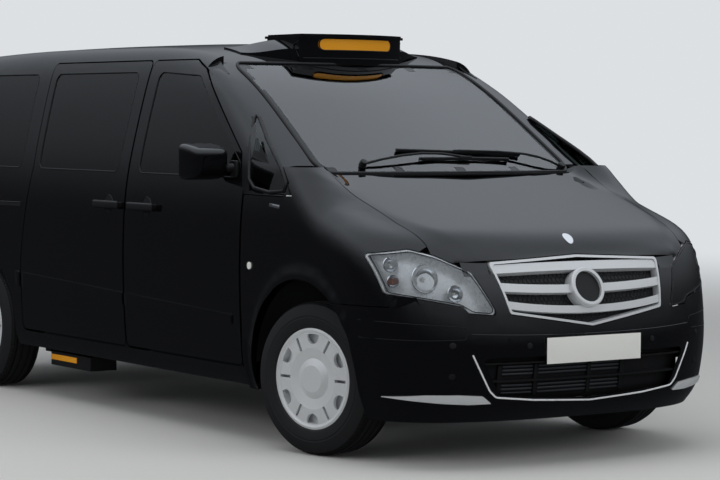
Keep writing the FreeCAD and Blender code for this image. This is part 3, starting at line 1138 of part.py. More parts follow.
for k in range(6):
    angle = k * 60
    slit = slab(size("slit_inner_radius"), size("slit_outer_radius"), 0, size("rim_width"),
                -size("slit_width") / 2, size("slit_width") / 2)
    slit.rotate(FreeCAD.Vector(0, 0, 0), FreeCAD.Vector(0, 1, 0), angle)
    cover_shape = cover_shape.cut(slit)
    scallop = Part.makeCylinder(size("scallop_radius"), size("rim_width"),
                                FreeCAD.Vector(size("scallop_centre_radius"), 0, 0), FreeCAD.Vector(0, 1, 0))
    scallop = scallop.common(Part.makeCylinder(size("slit_outer_radius"), size("rim_width"), FreeCAD.Vector(0, 0, 0),
                                               FreeCAD.Vector(0, 1, 0)))
    scallop.rotate(FreeCAD.Vector(0, 0, 0), FreeCAD.Vector(0, 1, 0), angle + 30)
    cover_shape = cover_shape.cut(scallop)
wheel_shape = rim_shape.fuse(cover_shape)

WHEELS = (("front_right", 0, -1), ("front_left", 0, 1), ("rear_right", 1, -1), ("rear_left", 1, 1))
for corner, rear, side in WHEELS:
    for kind, shape in (("tyre", tyre_shape), ("rim", wheel_shape)):
        node = doc.addObject("Part::Feature", "%s_%s" % (kind, corner))
        node.Label = node.Name
        own = shape if side > 0 else mirrored(shape)
        node.Shape = own if len(own.Solids) != 1 else own.Solids[0]
        station = "<<dims>>.front_axle_x - <<dims>>.wheelbase" if rear else "<<dims>>.front_axle_x"
        half = "<<dims>>.half_track"
        node.setExpression("Placement.Base.z", "<<dims>>.wheel_centre_height")
        if rear:
            node.setExpression("Placement.Base.x", station)
            node.setExpression("Placement.Base.y", half if side > 0 else "-" + half)
        else:
            # steered about the kingpin, which stands inboard of the wheel
            shift = "<<dims>>.kingpin_inset"
            sign = "" if side > 0 else "-"
            other = "-" if side > 0 else ""
            node.setExpression("Placement.Base.x", "%s %s %s * sin(<<dims>>.rest_steer_angle * 1 deg)" % (
                station, "-" if side > 0 else "+", shift))
            node.setExpression("Placement.Base.y", "%s(%s - %s + %s * cos(<<dims>>.rest_steer_angle * 1 deg))" % (
                sign, half, shift, shift))
            node.setExpression("Placement.Rotation.Angle", "<<dims>>.rest_steer_angle * 1 deg")
        NODES.append(node)

# knuckles with hub and brake disc, turned with the wheel
kingpin = size("half_track") - size("kingpin_inset")
for name, side in (("right", -1), ("left", 1)):
    inner = size("kingpin_inset")
    block = slab(-size("knuckle_length") / 2, size("knuckle_length") / 2, -size("knuckle_width") / 4,
                 size("knuckle_width") / 2, -size("knuckle_height") / 2, size("knuckle_height") / 2)
    axle = Part.makeCylinder(size("hub_radius") + GAP * 2, inner + size("cover_offset") - size("cover_depth") * 1.4 - SEAT,
                             FreeCAD.Vector(0, 0, 0), FreeCAD.Vector(0, 1, 0))
    disc = Part.makeCylinder(size("disc_radius"), size("disc_thickness"),
                             FreeCAD.Vector(0, size("knuckle_width") / 2, 0), FreeCAD.Vector(0, 1, 0))
    shape = block.fuse(axle).fuse(disc)
    if side < 0:
        shape = mirrored(shape)
    node = doc.addObject("Part::Feature", "knuckle_" + name)
    node.Label = node.Name
    node.Shape = clean(shape)
    node.setExpression("Placement.Base.x", "<<dims>>.front_axle_x")
    node.setExpression("Placement.Base.y", "%s(<<dims>>.half_track - <<dims>>.kingpin_inset)" % ("" if side > 0 else "-"))
    node.setExpression("Placement.Base.z", "<<dims>>.wheel_centre_height")
    node.setExpression("Placement.Rotation.Angle", "<<dims>>.rest_steer_angle * 1 deg")
    NODES.append(node)

# axles
span = size("half_track") - size("knuckle_width") * 2
rear_beam = Part.makeCylinder(size("beam_radius"), (size("half_track") - size("tyre_width") / 2) * 2,
                              FreeCAD.Vector(-size("wheelbase"), -(size("half_track") - size("tyre_width") / 2),
                                             size("wheel_centre_height")), FreeCAD.Vector(0, 1, 0))
hubs = []
for side in (-1, 1):
    start = FreeCAD.Vector(-size("wheelbase"), side * (size("half_track") - size("tyre_width") / 2),
                           size("wheel_centre_height"))
    hubs.append(Part.makeCylinder(size("hub_radius") + GAP * 2,
                                  size("tyre_width") / 2 + size("cover_offset") - size("cover_depth") * 1.4 - SEAT,
                                  start, FreeCAD.Vector(0, side, 0)))
for hub in hubs:
    rear_beam = rear_beam.fuse(hub)
under = size("floor_z") - size("floor_thickness") - SEAT
for side in (-1, 1):
    perch_y = side * size("leg_half_spacing")
    rear_beam = rear_beam.fuse(slab(-size("wheelbase") - size("leg_width"), -size("wheelbase") + size("leg_width"),
                                    perch_y - size("leg_width") / 2, perch_y + size("leg_width") / 2,
                                    size("wheel_centre_height"), under))
add("rear_axle", rear_beam)
cross = slab(-size("subframe_length") / 2, size("subframe_length") / 2, -kingpin + size("knuckle_width") * 2.1,
             kingpin - size("knuckle_width") * 2.1, size("wheel_centre_height") - size("subframe_height"),
             size("wheel_centre_height"))
arm_top = size("wheel_centre_height") - size("knuckle_height") / 2 - SEAT
for side in (-1, 1):
    perch_y = side * size("leg_half_spacing")
    cross = cross.fuse(slab(-size("subframe_length") / 2, size("subframe_length") / 2, perch_y - size("leg_width") / 2,
                            perch_y + size("leg_width") / 2, size("wheel_centre_height") - GAP, under))
    cross = cross.fuse(slab(-size("arm_width") / 2, size("arm_width") / 2, side * size("leg_half_spacing"),
                            side * (kingpin + size("arm_width") / 3), arm_top - size("arm_thickness"), arm_top))
    cross = cross.fuse(slab(-size("arm_width") / 2, size("arm_width") / 2, side * size("leg_half_spacing"),
                            side * (size("leg_half_spacing") + size("leg_width")), arm_top - size("arm_thickness"),
                            size("wheel_centre_height") - size("subframe_height") / 2))
add("front_axle", cross)
engine = slab(size("engine_ahead") - size("engine_length") / 2, size("engine_ahead") + size("engine_length") / 2,
              -size("engine_width") / 2, size("engine_width") / 2, size("wheel_centre_height") + SEAT,
              size("wheel_centre_height") + SEAT + size("engine_height"))
add("engine_block", engine)

# liners of the front arches
liner_radius = size("arch_radius") - SEAT
liner_start = FreeCAD.Vector(FRONT_ARCH, -(side_width(ARCH_Z) - size("skin_thickness") * 3), ARCH_Z)
liner_length = side_width(ARCH_Z) - size("skin_thickness") * 3 - size("leg_half_spacing") - size("leg_width") / 2 - SEAT
LEFTWARD = FreeCAD.Vector(0, 1, 0)
liner = Part.makeCylinder(liner_radius, liner_length, liner_start, LEFTWARD)
liner = liner.cut(Part.makeCylinder(liner_radius - size("liner_thickness"), liner_length * 2,
                                    liner_start - LEFTWARD * GAP, LEFTWARD))
liner = liner.common(slab(FRONT_ARCH - size("arch_radius"), FRONT_ARCH + size("arch_radius"), -OUTER, 0,
                          ARCH_Z + size("liner_gap"), size("sign_top_z")))
add("wheel_liners", Part.makeCompound([liner, mirrored(liner)]))

# mirrors, roof sign, steps
for name, side in (("right", -1), ("left", 1)):
    head = slab(size("mirror_ahead") - size("mirror_length") / 2, size("mirror_ahead") + size("mirror_length") / 2,
                -size("mirror_y") - size("mirror_width") / 2, -size("mirror_y") + size("mirror_width") / 2,
                size("mirror_z") - size("mirror_height") / 2, size("mirror_z") + size("mirror_height") / 2)
    long_edges = [e for e in head.Edges if abs(e.tangentAt(e.FirstParameter).x) > 1 / 2]
    head = head.makeFillet(size("mirror_round") * 1.4, long_edges)
    front_edges = [e for e in head.Edges if e.BoundBox.XMin > size("mirror_ahead") + size("mirror_length") / 2 - STEP]
    head = head.makeFillet(size("mirror_round") * 1.3, front_edges)
    arm_y = side_width(size("mirror_foot_z")) + SEAT * 3
    head = head.fuse(slab(size("mirror_ahead") + GAP * 2, size("mirror_foot_ahead"), -size("mirror_y"), -arm_y,
                          size("mirror_foot_z"), size("mirror_z") + GAP))
    if side > 0:
        head = mirrored(head)
    add("mirror_" + name, head)



def sign_front(y, set_back=0.0):
    share = y / size("sign_half")
    return FreeCAD.Vector(size("sign_front_ahead") - size("sign_sweep") * share * share - set_back, y, 0)


def sign_plan(inner, outer, front, rear, low, high):
    """Block between two arcs over the roof, from one half width to another."""
    ahead_points = [sign_front(y, front) for y in spread(inner, outer, 13)]
    behind_points = [sign_front(y, rear) for y in spread(outer, inner, 13)]
    for point in ahead_points + behind_points:
        point.z = low
    edges = [edge_of(ahead_points), Part.makeLine(ahead_points[-1], behind_points[0]), edge_of(behind_points),
             Part.makeLine(behind_points[-1], ahead_points[0])]
    return Part.Face(Part.Wire(edges)).extrude(FreeCAD.Vector(0, 0, high - low))


base_rows = []
low_rows = []
wing_rows = []
sign_reach = size("sign_half") + CORNER
for y in spread(-sign_reach, sign_reach, 25):
    rows = ([], [], [])
    for s in spread(size("sign_front_ahead") - size("sign_sweep") - size("sign_depth") * 1.3,
                    size("sign_front_ahead") + CORNER, 11):
        roof_z = size("side_z_belt") + hit(upper_field, (s, y, size("side_z_belt")), (0.0, 0.0, 1.0))
        share = (size("sign_half") - abs(y)) / (size("sign_half") - size("sign_box_half"))
        for row, z in zip(rows, (roof_z + SEAT, size("side_z_pane"), roof_z + GAP + size("sign_wing_height") * ease(share))):
            row.append(FreeCAD.Vector(s, y, z))
    base_rows.append(rows[0])
    low_rows.append(rows[1])
    wing_rows.append(rows[2])
sign_low = size("roof_z_header") - CORNER
box = sign_plan(-size("sign_box_half"), size("sign_box_half"), size("sign_visor"), size("sign_depth"), sign_low,
                size("sign_top_z") - size("sign_visor"))
lid = sign_plan(-size("sign_box_half") - GAP, size("sign_box_half") + GAP, 0.0, size("sign_depth") + GAP,
                size("sign_top_z") - size("sign_visor") * 1.2, size("sign_top_z") - GAP)
lid = lid.fuse(sign_plan(-size("sign_box_half") + GAP / 2, size("sign_box_half") - GAP / 2, GAP, size("sign_depth"),
                         size("sign_top_z") - size("sign_visor"), size("sign_top_z")))
roof_block = shell_between(base_rows, low_rows)
box = box.fuse(lid).cut(roof_block)
wings = sign_plan(-size("sign_half"), size("sign_half"), size("sign_visor") * 1.5, size("sign_depth") * 0.6, sign_low,
                  size("sign_top_z"))
wings = wings.common(shell_between(wing_rows, base_rows))
lens_outline = [(-size("sign_lens_half"), size("sign_lens_low_z")), (size("sign_lens_half"), size("sign_lens_low_z")),
                (size("sign_lens_half"), size("sign_lens_top_z")), (-size("sign_lens_half"), size("sign_lens_top_z"))]
lens_reach = (size("sign_front_ahead") - size("sign_depth"), size("sign_front_ahead") + CORNER)
lens_round = (size("sign_lens_top_z") - size("sign_lens_low_z")) * 0.44
sign_lens = sign_plan(-size("sign_box_half"), size("sign_box_half"), size("sign_visor") - GAP / 2,
                      size("sign_visor") + size("sign_lens_depth") - SEAT, sign_low, size("sign_top_z"))
sign_lens = sign_lens.common(front_prism(lens_outline, lens_round, *lens_reach))
pocket = sign_plan(-size("sign_box_half"), size("sign_box_half"), -CORNER, size("sign_visor") + size("sign_lens_depth"),
                   sign_low, size("sign_top_z"))
pocket = pocket.common(front_prism(shifted(lens_outline, SEAT), lens_round, *lens_reach))
pod = box.fuse(wings).cut(pocket)
pod = sorted(pod.Solids, key=lambda s: -s.Volume)[0]
add("roof_sign_pod", pod)
add("roof_sign_lens", sign_lens)

for shape_name, sides in (("side_steps", (-1, 1)),):
    steps = []
    for side in sides:
        y0 = side * (size("side_y_low") - size("step_depth"))
        y1 = side * size("side_y_low")
        steps.append(slab(size("step_ahead") - size("step_length") / 2, size("step_ahead") + size("step_length") / 2,
                          y0, y1, size("step_z"), size("step_z") + size("step_height")))
    add(shape_name, Part.makeCompound(steps))

# cabin
for name, y in (("driver_seat", -size("front_seat_half")),):
    cushion = slab(size("driver_seat_ahead") - size("seat_depth") / 2, size("driver_seat_ahead") + size("seat_depth") / 2,
                   y - size("seat_width") / 2, y + size("seat_width") / 2, size("seat_z"), size("seat_z") + size("seat_height"))
    cushion = cushion.makeFillet(CORNER, cushion.Edges)
    back = slab(-size("back_thickness"), 0, y - size("seat_width") / 2, y + size("seat_width") / 2, 0, size("back_height"))
    back = back.makeFillet(CORNER, back.Edges)
    back.rotate(FreeCAD.Vector(0, 0, 0), FreeCAD.Vector(0, 1, 0), -size("back_lean"))
    back.translate(FreeCAD.Vector(size("driver_seat_ahead") - size("seat_depth") / 2 + CORNER, 0,
                                  size("seat_z") + size("seat_height") * 0.6))
    base = slab(size("driver_seat_ahead") - size("seat_depth") / 3, size("driver_seat_ahead") + size("seat_depth") / 3,
                y - size("seat_width") / 3, y + size("seat_width") / 3, size("floor_z") + SEAT, size("seat_z") + GAP)
    driver_seat = base.fuse(cushion).fuse(back)

bench = slab(size("bench_ahead"), size("bench_ahead") + size("seat_depth"), -size("bench_width") / 2, size("bench_width") / 2,
             size("floor_z") + SEAT, size("bench_z"))
bench_back = slab(-size("back_thickness"), 0, -size("bench_width") / 2, size("bench_width") / 2, 0, size("back_height"))
bench_back = bench_back.makeFillet(CORNER, bench_back.Edges)
bench_back.rotate(FreeCAD.Vector(0, 0, 0), FreeCAD.Vector(0, 1, 0), -size("back_lean"))
bench_back.translate(FreeCAD.Vector(size("bench_ahead") + CORNER, 0, size("bench_z") - CORNER))
add("seats", Part.makeCompound([driver_seat, bench.fuse(bench_back)]))

partition_half = [(size("floor_half") * 0.9, size("floor_z") + SEAT), (size("floor_half") * 0.9, size("side_z_belt")),
                  (size("rail_half") * 0.9, size("roof_z_header") - CORNER)]
screen_wall = front_prism(partition_half + [(-y, z) for y, z in reversed(partition_half)], CORNER,
                          size("partition_ahead") - size("partition_thickness"), size("partition_ahead"))
add("partition", screen_wall)

dash_rear = size("dash_rear_ahead")
dash_wall = size("floor_front_ahead") - size("toe_thickness") - SEAT
dash_step = size("quarter_low_z") - size("shut_radius") + GAP
dash_outline = [(size("dash_fore_ahead"), dash_step), (size("dash_fore_ahead"), size("dash_top_z")),
                (dash_wall - CORNER, size("dash_top_z")), (dash_rear + CORNER, size("dash_top_z") - GAP * 3),
                (dash_rear, size("dash_brow_z")), (dash_rear, size("dash_knee_z")), (dash_rear + CORNER * 2, size("dash_low_z")),
                (dash_wall, size("dash_low_z")), (dash_wall, dash_step)]
dash = side_prism(dash_outline, GAP * 2, -size("dash_half"), size("dash_half"))
dash = dash.cut(slab(dash_wall + SEAT, 0, -OUTER, -size("rail_half"), 0, size("sign_top_z")))
dash = dash.cut(slab(dash_wall + SEAT, 0, size("rail_half"), OUTER, 0, size("sign_top_z")))
dash = dash.cut(slab(dash_wall, 0, -OUTER, OUTER, 0, size("quarter_low_z") - size("shut_radius") + SEAT))
add("dashboard", dash)

# scuttle panel between the bonnet and the windscreen
cowl_rows = spread(-size("screen_base_half") * 0.94, size("screen_base_half") * 0.94, 17)
cowl_front = []
cowl_back = []
cowl_line = spline([(0.0, size("bonnet_rear_mid_ahead")), (size("bonnet_side_rear") / 2, size("bonnet_rear_quarter_ahead")),
                    (size("bonnet_side_rear"), size("bonnet_s_rear"))])
for y in cowl_rows:
    cowl_front.append(FreeCAD.Vector(cowl_line(abs(y)) - GAP * 1.5, y, size("cowl_z") - size("cowl_thickness")))
    cowl_back.append(FreeCAD.Vector(screen_station(y, size("screen_low_z")) - size("cowl_depth"), y,
                                    size("cowl_z") - size("cowl_thickness")))
cowl_edges = [edge_of(cowl_front), Part.makeLine(cowl_front[-1], cowl_back[-1]), edge_of(cowl_back[::-1]),
              Part.makeLine(cowl_back[0], cowl_front[0])]
cowl = Part.Face(Part.Wire(cowl_edges)).extrude(FreeCAD.Vector(0, 0, size("cowl_thickness")))
add("cowl_panel", cowl)

wheel_ring = Part.makeTorus(size("wheel_rim_radius"), size("wheel_rim_section"))
spoke = slab(-size("wheel_rim_radius"), size("wheel_rim_radius"), -size("wheel_rim_section"), size("wheel_rim_section"),
             -GAP, GAP)
column = Part.makeCylinder(size("wheel_rim_radius") * 0.2, size("column_length"),
                           FreeCAD.Vector(0, 0, -size("column_length")))
steering = wheel_ring.fuse(spoke).fuse(column)
steering.rotate(FreeCAD.Vector(0, 0, 0), FreeCAD.Vector(0, 1, 0), -size("steer_wheel_tilt"))
steering.translate(FreeCAD.Vector(size("steer_wheel_ahead"), size("steer_wheel_y"), size("steer_wheel_z")))
steering = steering.cut(slab(dash_rear - SEAT, 0, -OUTER, OUTER, 0, size("sign_top_z")))
add("steering_wheel", steering)

# checks and export

doc.recompute()
os.makedirs("parts", exist_ok=True)
for item in doc.Objects:
    if "Invalid" in item.State or "Error" in item.State:
        raise RuntimeError("not rebuilt: " + item.Label)
for node in NODES:
    if node.Shape.isNull() or not node.Shape.isValid():
        raise RuntimeError("shape of %s is not valid" % node.Label)
    print(node.Label, len(node.Shape.Solids), round(node.Shape.Volume / 1e6, 3), [round(v) for v in (
        node.Shape.BoundBox.XMin, node.Shape.BoundBox.XMax, node.Shape.BoundBox.YMin, node.Shape.BoundBox.YMax,
        node.Shape.BoundBox.ZMin, node.Shape.BoundBox.ZMax)])
    node.Shape.exportStep("parts/%s.step" % node.Label)
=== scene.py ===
import json
import math

import bpy
from mathutils import Matrix, Vector
from mathutils.geometry import convex_hull_2d


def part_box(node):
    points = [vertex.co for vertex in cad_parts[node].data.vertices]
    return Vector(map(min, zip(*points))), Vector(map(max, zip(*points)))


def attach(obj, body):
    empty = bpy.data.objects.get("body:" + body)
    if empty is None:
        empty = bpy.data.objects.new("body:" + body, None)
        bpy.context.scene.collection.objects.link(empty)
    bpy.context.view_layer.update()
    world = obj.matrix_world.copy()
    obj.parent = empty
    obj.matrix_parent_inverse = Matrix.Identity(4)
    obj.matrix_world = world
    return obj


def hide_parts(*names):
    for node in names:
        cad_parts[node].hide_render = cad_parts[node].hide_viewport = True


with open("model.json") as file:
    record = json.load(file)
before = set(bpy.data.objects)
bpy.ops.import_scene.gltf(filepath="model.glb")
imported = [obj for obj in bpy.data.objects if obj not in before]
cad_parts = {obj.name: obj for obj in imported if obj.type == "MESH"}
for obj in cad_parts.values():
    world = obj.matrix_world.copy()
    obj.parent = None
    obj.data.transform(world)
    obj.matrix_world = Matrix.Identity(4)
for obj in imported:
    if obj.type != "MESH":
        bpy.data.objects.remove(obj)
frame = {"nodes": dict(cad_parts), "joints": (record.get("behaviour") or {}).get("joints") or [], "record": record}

bl_info = {
    "name": "Black cab dressing",
    "version": (1, 0, 0),
    "blender": (4, 5, 0),
    "location": "View3D > Sidebar > Cab",
    "description": "Finishes, trim and studio for a van based passenger cab",
    "category": "Object",
}

MM = 0.001
JOINTS = {joint["name"]: joint for joint in frame["joints"]}
AXLE_X, KINGPIN_Y, AXLE_Z = JOINTS["steer_left"]["pos_m"]
REST_STEER = math.atan2(-JOINTS["spin_front_left"]["axis"][0], JOINTS["spin_front_left"]["axis"][1])
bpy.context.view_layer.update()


def ahead(station):
    """X of a station given in millimetres ahead of the front axle."""
    return AXLE_X + station * MM


# Settings

class CabColours(bpy.types.PropertyGroup):
    """Colours of the finishes, as sRGB."""
    lacquer: bpy.props.StringProperty(name="Lacquer", description="Body colour, sRGB hex", default="08080A")
    silver: bpy.props.StringProperty(name="Silver", description="Wheel cover and louvre colour", default="DCDEE0")
    amber: bpy.props.StringProperty(name="Amber", description="Roof sign lens", default="F0A21E")
    floor: bpy.props.StringProperty(name="Floor", description="Studio floor", default="E2E2DF")
    backdrop: bpy.props.StringProperty(name="Backdrop", description="Studio background", default="DDE0E3")
    # Also painted on the floor as a flat dark emission that only gloss rays see: a painted floor reflection.
    horizon_and_painted_floor_reflection: bpy.props.StringProperty(name="Horizon", description="Studio wall low down, as gloss shows it",
                                      default="35373A")
    sky: bpy.props.StringProperty(name="Ceiling", description="Studio ceiling, as gloss shows it", default="E6EEF8")


class CabSizes(bpy.types.PropertyGroup):
    """Sizes of the trim, in metres."""
    tread_depth: bpy.props.FloatProperty(name="Tread depth", description="Depth of the tyre grooves",
                                         default=7 * MM, unit="LENGTH")
    strip_lift: bpy.props.FloatProperty(name="Strip thickness", description="How far the side strips stand proud",
                                        default=5 * MM, unit="LENGTH")
    seal_radius: bpy.props.FloatProperty(name="Seal radius", description="Half the thickness of the glass seals",
                                         default=5 * MM, unit="LENGTH")
    comb_pitch: bpy.props.FloatProperty(name="Comb pitch", description="Width of a cell of the grille's honeycomb",
                                        default=22 * MM, unit="LENGTH")


# Materials

PEEL_MM = 14
ROUGHNESS_PATCH_MM = 30

def linear(code):
    """Linear colour of an sRGB hex code."""
    values = [int(code[i:i + 2], 16) / 255 for i in (0, 2, 4)]
    return [v / 12.92 if v <= 0.04045 else ((v + 0.055) / 1.055) ** 2.4 for v in values] + [1.0]


def add_node(material, kind, links=None, **settings):
    """Add a node; links maps an input to a (node, output) pair."""
    made = material.node_tree.nodes.new(kind)
    for key, value in settings.items():
        if hasattr(made, key):
            setattr(made, key, value)
        else:
            made.inputs[key.replace("_", " ")].default_value = value
    for socket, (source, output) in (links or {}).items():
        material.node_tree.links.new(source.outputs[output], made.inputs[socket])
    return made


def shader(name, colour, **settings):
    """Material with a Principled shader; returns both."""
    material = bpy.data.materials.new(name)
    material.use_nodes = True
    surface = material.node_tree.nodes["Principled BSDF"]
    surface.inputs["Base Color"].default_value = linear(colour)
    for key, value in settings.items():
        surface.inputs[key.replace("_", " ")].default_value = value
    return material, surface


def link(material, source, output, surface, socket):
    """Join an output to an input of another node."""
    material.node_tree.links.new(source.outputs[output], surface.inputs[socket])


def speckle(material, surface, size_mm, low, high):
    """Vary the roughness over the surface with a noise of a real size."""
    where = add_node(material, "ShaderNodeTexCoord")
    noise = add_node(material, "ShaderNodeTexNoise", {"Vector": (where, "Object")}, Scale=1 / (size_mm * MM),
                     Detail=2.0)
    spread = add_node(material, "ShaderNodeMapRange", {"Value": (noise, "Fac")}, To_Min=low, To_Max=high)
    link(material, spread, "Result", surface, "Roughness")


def lacquer(name, colour):
    """Two coat lacquer over black: deep gloss with a faint orange peel."""
    material, surface = shader(name, colour, Roughness=0.5, Coat_Weight=1.0, Coat_Roughness=0.02, Coat_IOR=1.6,
                               Specular_IOR_Level=0.0)
    where = add_node(material, "ShaderNodeTexCoord")
    peel = add_node(material, "ShaderNodeTexNoise", {"Vector": (where, "Object")}, Scale=1 / (PEEL_MM * MM),
                    Detail=1.0)
    bump = add_node(material, "ShaderNodeBump", {"Height": (peel, "Fac")}, Strength=1.0, Distance=0.006 * MM)
    link(material, bump, "Normal", surface, "Coat Normal")
    return material


def moulded(name, colour, roughness, grain_mm=0.9, height_mm=0.05):
    """Moulded plastic with a fine grain, drawn four times as coarse as it is so that it shows."""
    material, surface = shader(name, colour, IOR=1.5)
    speckle(material, surface, ROUGHNESS_PATCH_MM, roughness - 0.05, roughness + 0.05)
    where = add_node(material, "ShaderNodeTexCoord")
    grain = add_node(material, "ShaderNodeTexVoronoi", {"Vector": (where, "Object")}, Scale=1 / (grain_mm * 4 * MM))
    bump = add_node(material, "ShaderNodeBump", {"Height": (grain, "Distance")}, Strength=1.0,
                    Distance=height_mm * MM)
    link(material, bump, "Normal", surface, "Normal")
    return material


def glass(name, colour, tint, bend):
    """Clear or tinted pane: part see-through, part mirror by angle."""
    material, surface = shader(name, colour, Roughness=0.0, IOR=1.5)
    clear = add_node(material, "ShaderNodeBsdfTransparent", Color=linear(tint))
    gloss = add_node(material, "ShaderNodeBsdfGlossy", Roughness=0.0, Color=(1, 1, 1, 1))
    facing = add_node(material, "ShaderNodeFresnel", IOR=bend)
    both = add_node(material, "ShaderNodeMixShader", {0: (facing, "Fac"), 1: (clear, "BSDF"), 2: (gloss, "BSDF")})
    link(material, both, "Shader", material.node_tree.nodes["Material Output"], "Surface")
    return material


def metal(name, colour, roughness, streak_mm=6.0, share=1.0):
    """Metal or metallised skin; a share below one is metal flake in paint."""
    material, surface = shader(name, colour, Metallic=share)
    speckle(material, surface, streak_mm, max(roughness - 0.05, 0.0), roughness + 0.05)
    return material


def finishes(colours):
    """Every finish of the cab, by a plain name."""
    return {
        # Deep black with a sharp mirror image on top; the bumper's is sprayed on plastic.
        "lacquer": lacquer("black_two_coat_lacquer", colours.lacquer),
        "gloss": lacquer("black_painted_abs", colours.lacquer),
        # Tinted glass darkens the cabin; the screen is nearly clear and mirrors the sky at its slope.
        "side_glass": glass("tinted_tempered_glass", "0A0D0C", "A6B0AC", 1.6),
        "screen_glass": glass("laminated_windscreen_glass", "C8D4D0", "D6E2DD", 2.2),
        "lens": glass("clear_polycarbonate_lens", "F4F6F8", "FBFCFC", 1.5),
        # Metal skins, from mirror bright to a soft sheen.
        "chrome": metal("vacuum_metallised_reflector", "EDEEF0", 0.14, 20.0),
        "satin": metal("satin_metallised_bezel", "F6F7F9", 0.28, 30.0, 0.2),
        "mirror": metal("silvered_mirror_glass", "E9EBEC", 0.02),
        "fin": metal("aluminium_radiator_fin", "86888B", 0.4),
        "alloy": metal("sand_cast_alloy", "9A9B9D", 0.5),
        # Silver paint with a little metal flake: pale, with a soft broad shine.
        "silver": metal("silver_painted_abs", colours.silver, 0.36, 6.0, 0.3),
        "cover": metal("silver_lacquered_wheel_cover", colours.silver, 0.4, 6.0, 0.25),
        # Grained, rough or dull black: it shows as a quiet dark grey with no image in it.
        "grain": moulded("grained_black_polypropylene", "131314", 0.5),
        "underbody": moulded("black_underbody_coating", "161616", 0.8, 3.0, 0.2),
        "rubber": moulded("tyre_rubber", "1B1B1C", 0.72, 1.2, 0.03),
        "seal": moulded("black_glass_rubber", "0C0C0D", 0.55, 1.5, 0.01),
        "print": moulded("black_ceramic_print", "060607", 0.25, 1.0, 0.0),
        "comb": moulded("black_honeycomb_abs", "1C1D1F", 0.35, 1.0, 0.01),
        "seat": moulded("black_leatherette", "202023", 0.5, 1.4, 0.12),
        "dash": moulded("soft_touch_dash_foam", "1D1E20", 0.6, 1.2, 0.1),
        "iron": moulded("rusted_cast_iron", "3A3532", 0.7, 2.0, 0.1),
        # Pale and matt inside.
        "wall": moulded("pale_moulded_partition", "C9C8C3", 0.55),
        "lining": moulded("pale_knitted_roof_lining", "C9C6BE", 0.85, 1.5, 0.08),
        # Coloured and white plastics of the lamps, the sign and the plate, smooth and faintly shiny.
        "lens_white": moulded("white_diffusing_lens", "E6E6E2", 0.25, 2.0, 0.02),
        "amber": moulded("amber_acrylic_lens", colours.amber, 0.25, 2.0, 0.02),
        "bulb": moulded("amber_coated_bulb", "C8622A", 0.2, 2.0, 0.01),
        "red": moulded("red_acrylic_lens", "8E0D10", 0.18, 3.0, 0.05),
        "plate": moulded("white_reflective_plate", "EDEDE8", 0.4, 0.4, 0.01),
    }


SLOT_FINISH = {
    "body_paint": "lacquer", "door_paint": "lacquer", "bonnet_paint": "lacquer", "tailgate_paint": "lacquer",
    "bumper_paint": "gloss", "sign_paint": "gloss", "side_glass": "side_glass", "screen_glass": "screen_glass",
    "lamp_glass": "lens", "lamp_chrome": "satin", "grille_silver": "silver", "black_plastic": "grain",
    "underbody": "underbody", "dark_iron": "iron", "engine_alloy": "alloy", "seat_leather": "seat",
    "partition_plastic": "wall", "dash_plastic": "dash", "tail_red": "red", "sign_amber": "amber",
    "tyre_rubber": "rubber", "wheel_silver": "cover",
}
FINISH = {}


class CAB_OT_finishes(bpy.types.Operator):
    """Give every carried-over part its finish"""
    bl_idname = "cab.finishes"
    bl_label = "Finishes"

    def execute(self, context):
        FINISH.update(finishes(context.scene.cab_colours))
        slots = {part["node"]: part["material_slot"] for part in frame["record"]["subparts"]}
        for name, thing in frame["nodes"].items():
            thing.data.materials.clear()
            thing.data.materials.append(FINISH[SLOT_FINISH[slots[name]]])
        return {"FINISHED"}


# Modelling by hand

def deselect():
    bpy.ops.object.select_all(action="DESELECT")


def only(piece):
    deselect()
    piece.select_set(True)
    bpy.context.view_layer.objects.active = piece


def settle(piece):
    """Put the place, turn and size of an object into its mesh."""
    only(piece)
    bpy.ops.object.transform_apply(location=True, rotation=True, scale=True)


def modify(piece, kind, **settings):
    """Add a modifier and apply it."""
    only(piece)
    made = piece.modifiers.new(kind.title(), kind)
    for key, value in settings.items():
        setattr(made, key, value)
    bpy.ops.object.modifier_apply(modifier=made.name)


def shape(*steps):
    """Run edit mode operators, each on the whole of the active piece."""
    bpy.ops.object.mode_set(mode="EDIT")
    for operator, settings in steps:
        bpy.ops.mesh.select_all(action="SELECT")
        operator(**settings)
    bpy.ops.object.mode_set(mode="OBJECT")


def select_only(marks, elements):
    """Select the vertices or faces that are marked, in object mode."""
    bpy.ops.object.mode_set(mode="EDIT")
    bpy.ops.mesh.select_all(action="DESELECT")
    bpy.ops.object.mode_set(mode="OBJECT")
    for element, mark in zip(elements, marks):
        element.select = mark
    bpy.ops.object.mode_set(mode="EDIT")


def outward(piece):
    """Merge doubles and point every face outwards."""
    only(piece)
    shape((bpy.ops.mesh.remove_doubles, {"threshold": 0.01 * MM}),
          (bpy.ops.mesh.normals_make_consistent, {"inside": False}))


def faced(piece, facing):
    """Turn a sheet over if its first face looks the wrong way."""
    if piece.data.polygons[0].normal.dot(Vector(facing)) < 0:
        shape((bpy.ops.mesh.flip_normals, {}))


def drop(piece, unwanted):
    """Delete the corners marked in a list."""
    only(piece)
    select_only(unwanted, piece.data.vertices)
    bpy.ops.mesh.delete(type="VERT")
    bpy.ops.object.mode_set(mode="OBJECT")


def ring_of(a, b, radius, count):
    """Corners of a circle in a view, in millimetres."""
    turns = [2 * math.pi * k / count for k in range(count)]
    return [(a + radius * math.cos(turn), b + radius * math.sin(turn)) for turn in turns]


def sheet(points, fill, place):
    """Flat ring of corners, placed one by one."""
    deselect()
    bpy.ops.mesh.primitive_circle_add(vertices=len(points), radius=1, fill_type=fill)
    piece = bpy.context.object
    for vertex, point in zip(piece.data.vertices, points):
        vertex.co = place(*point)
    return piece


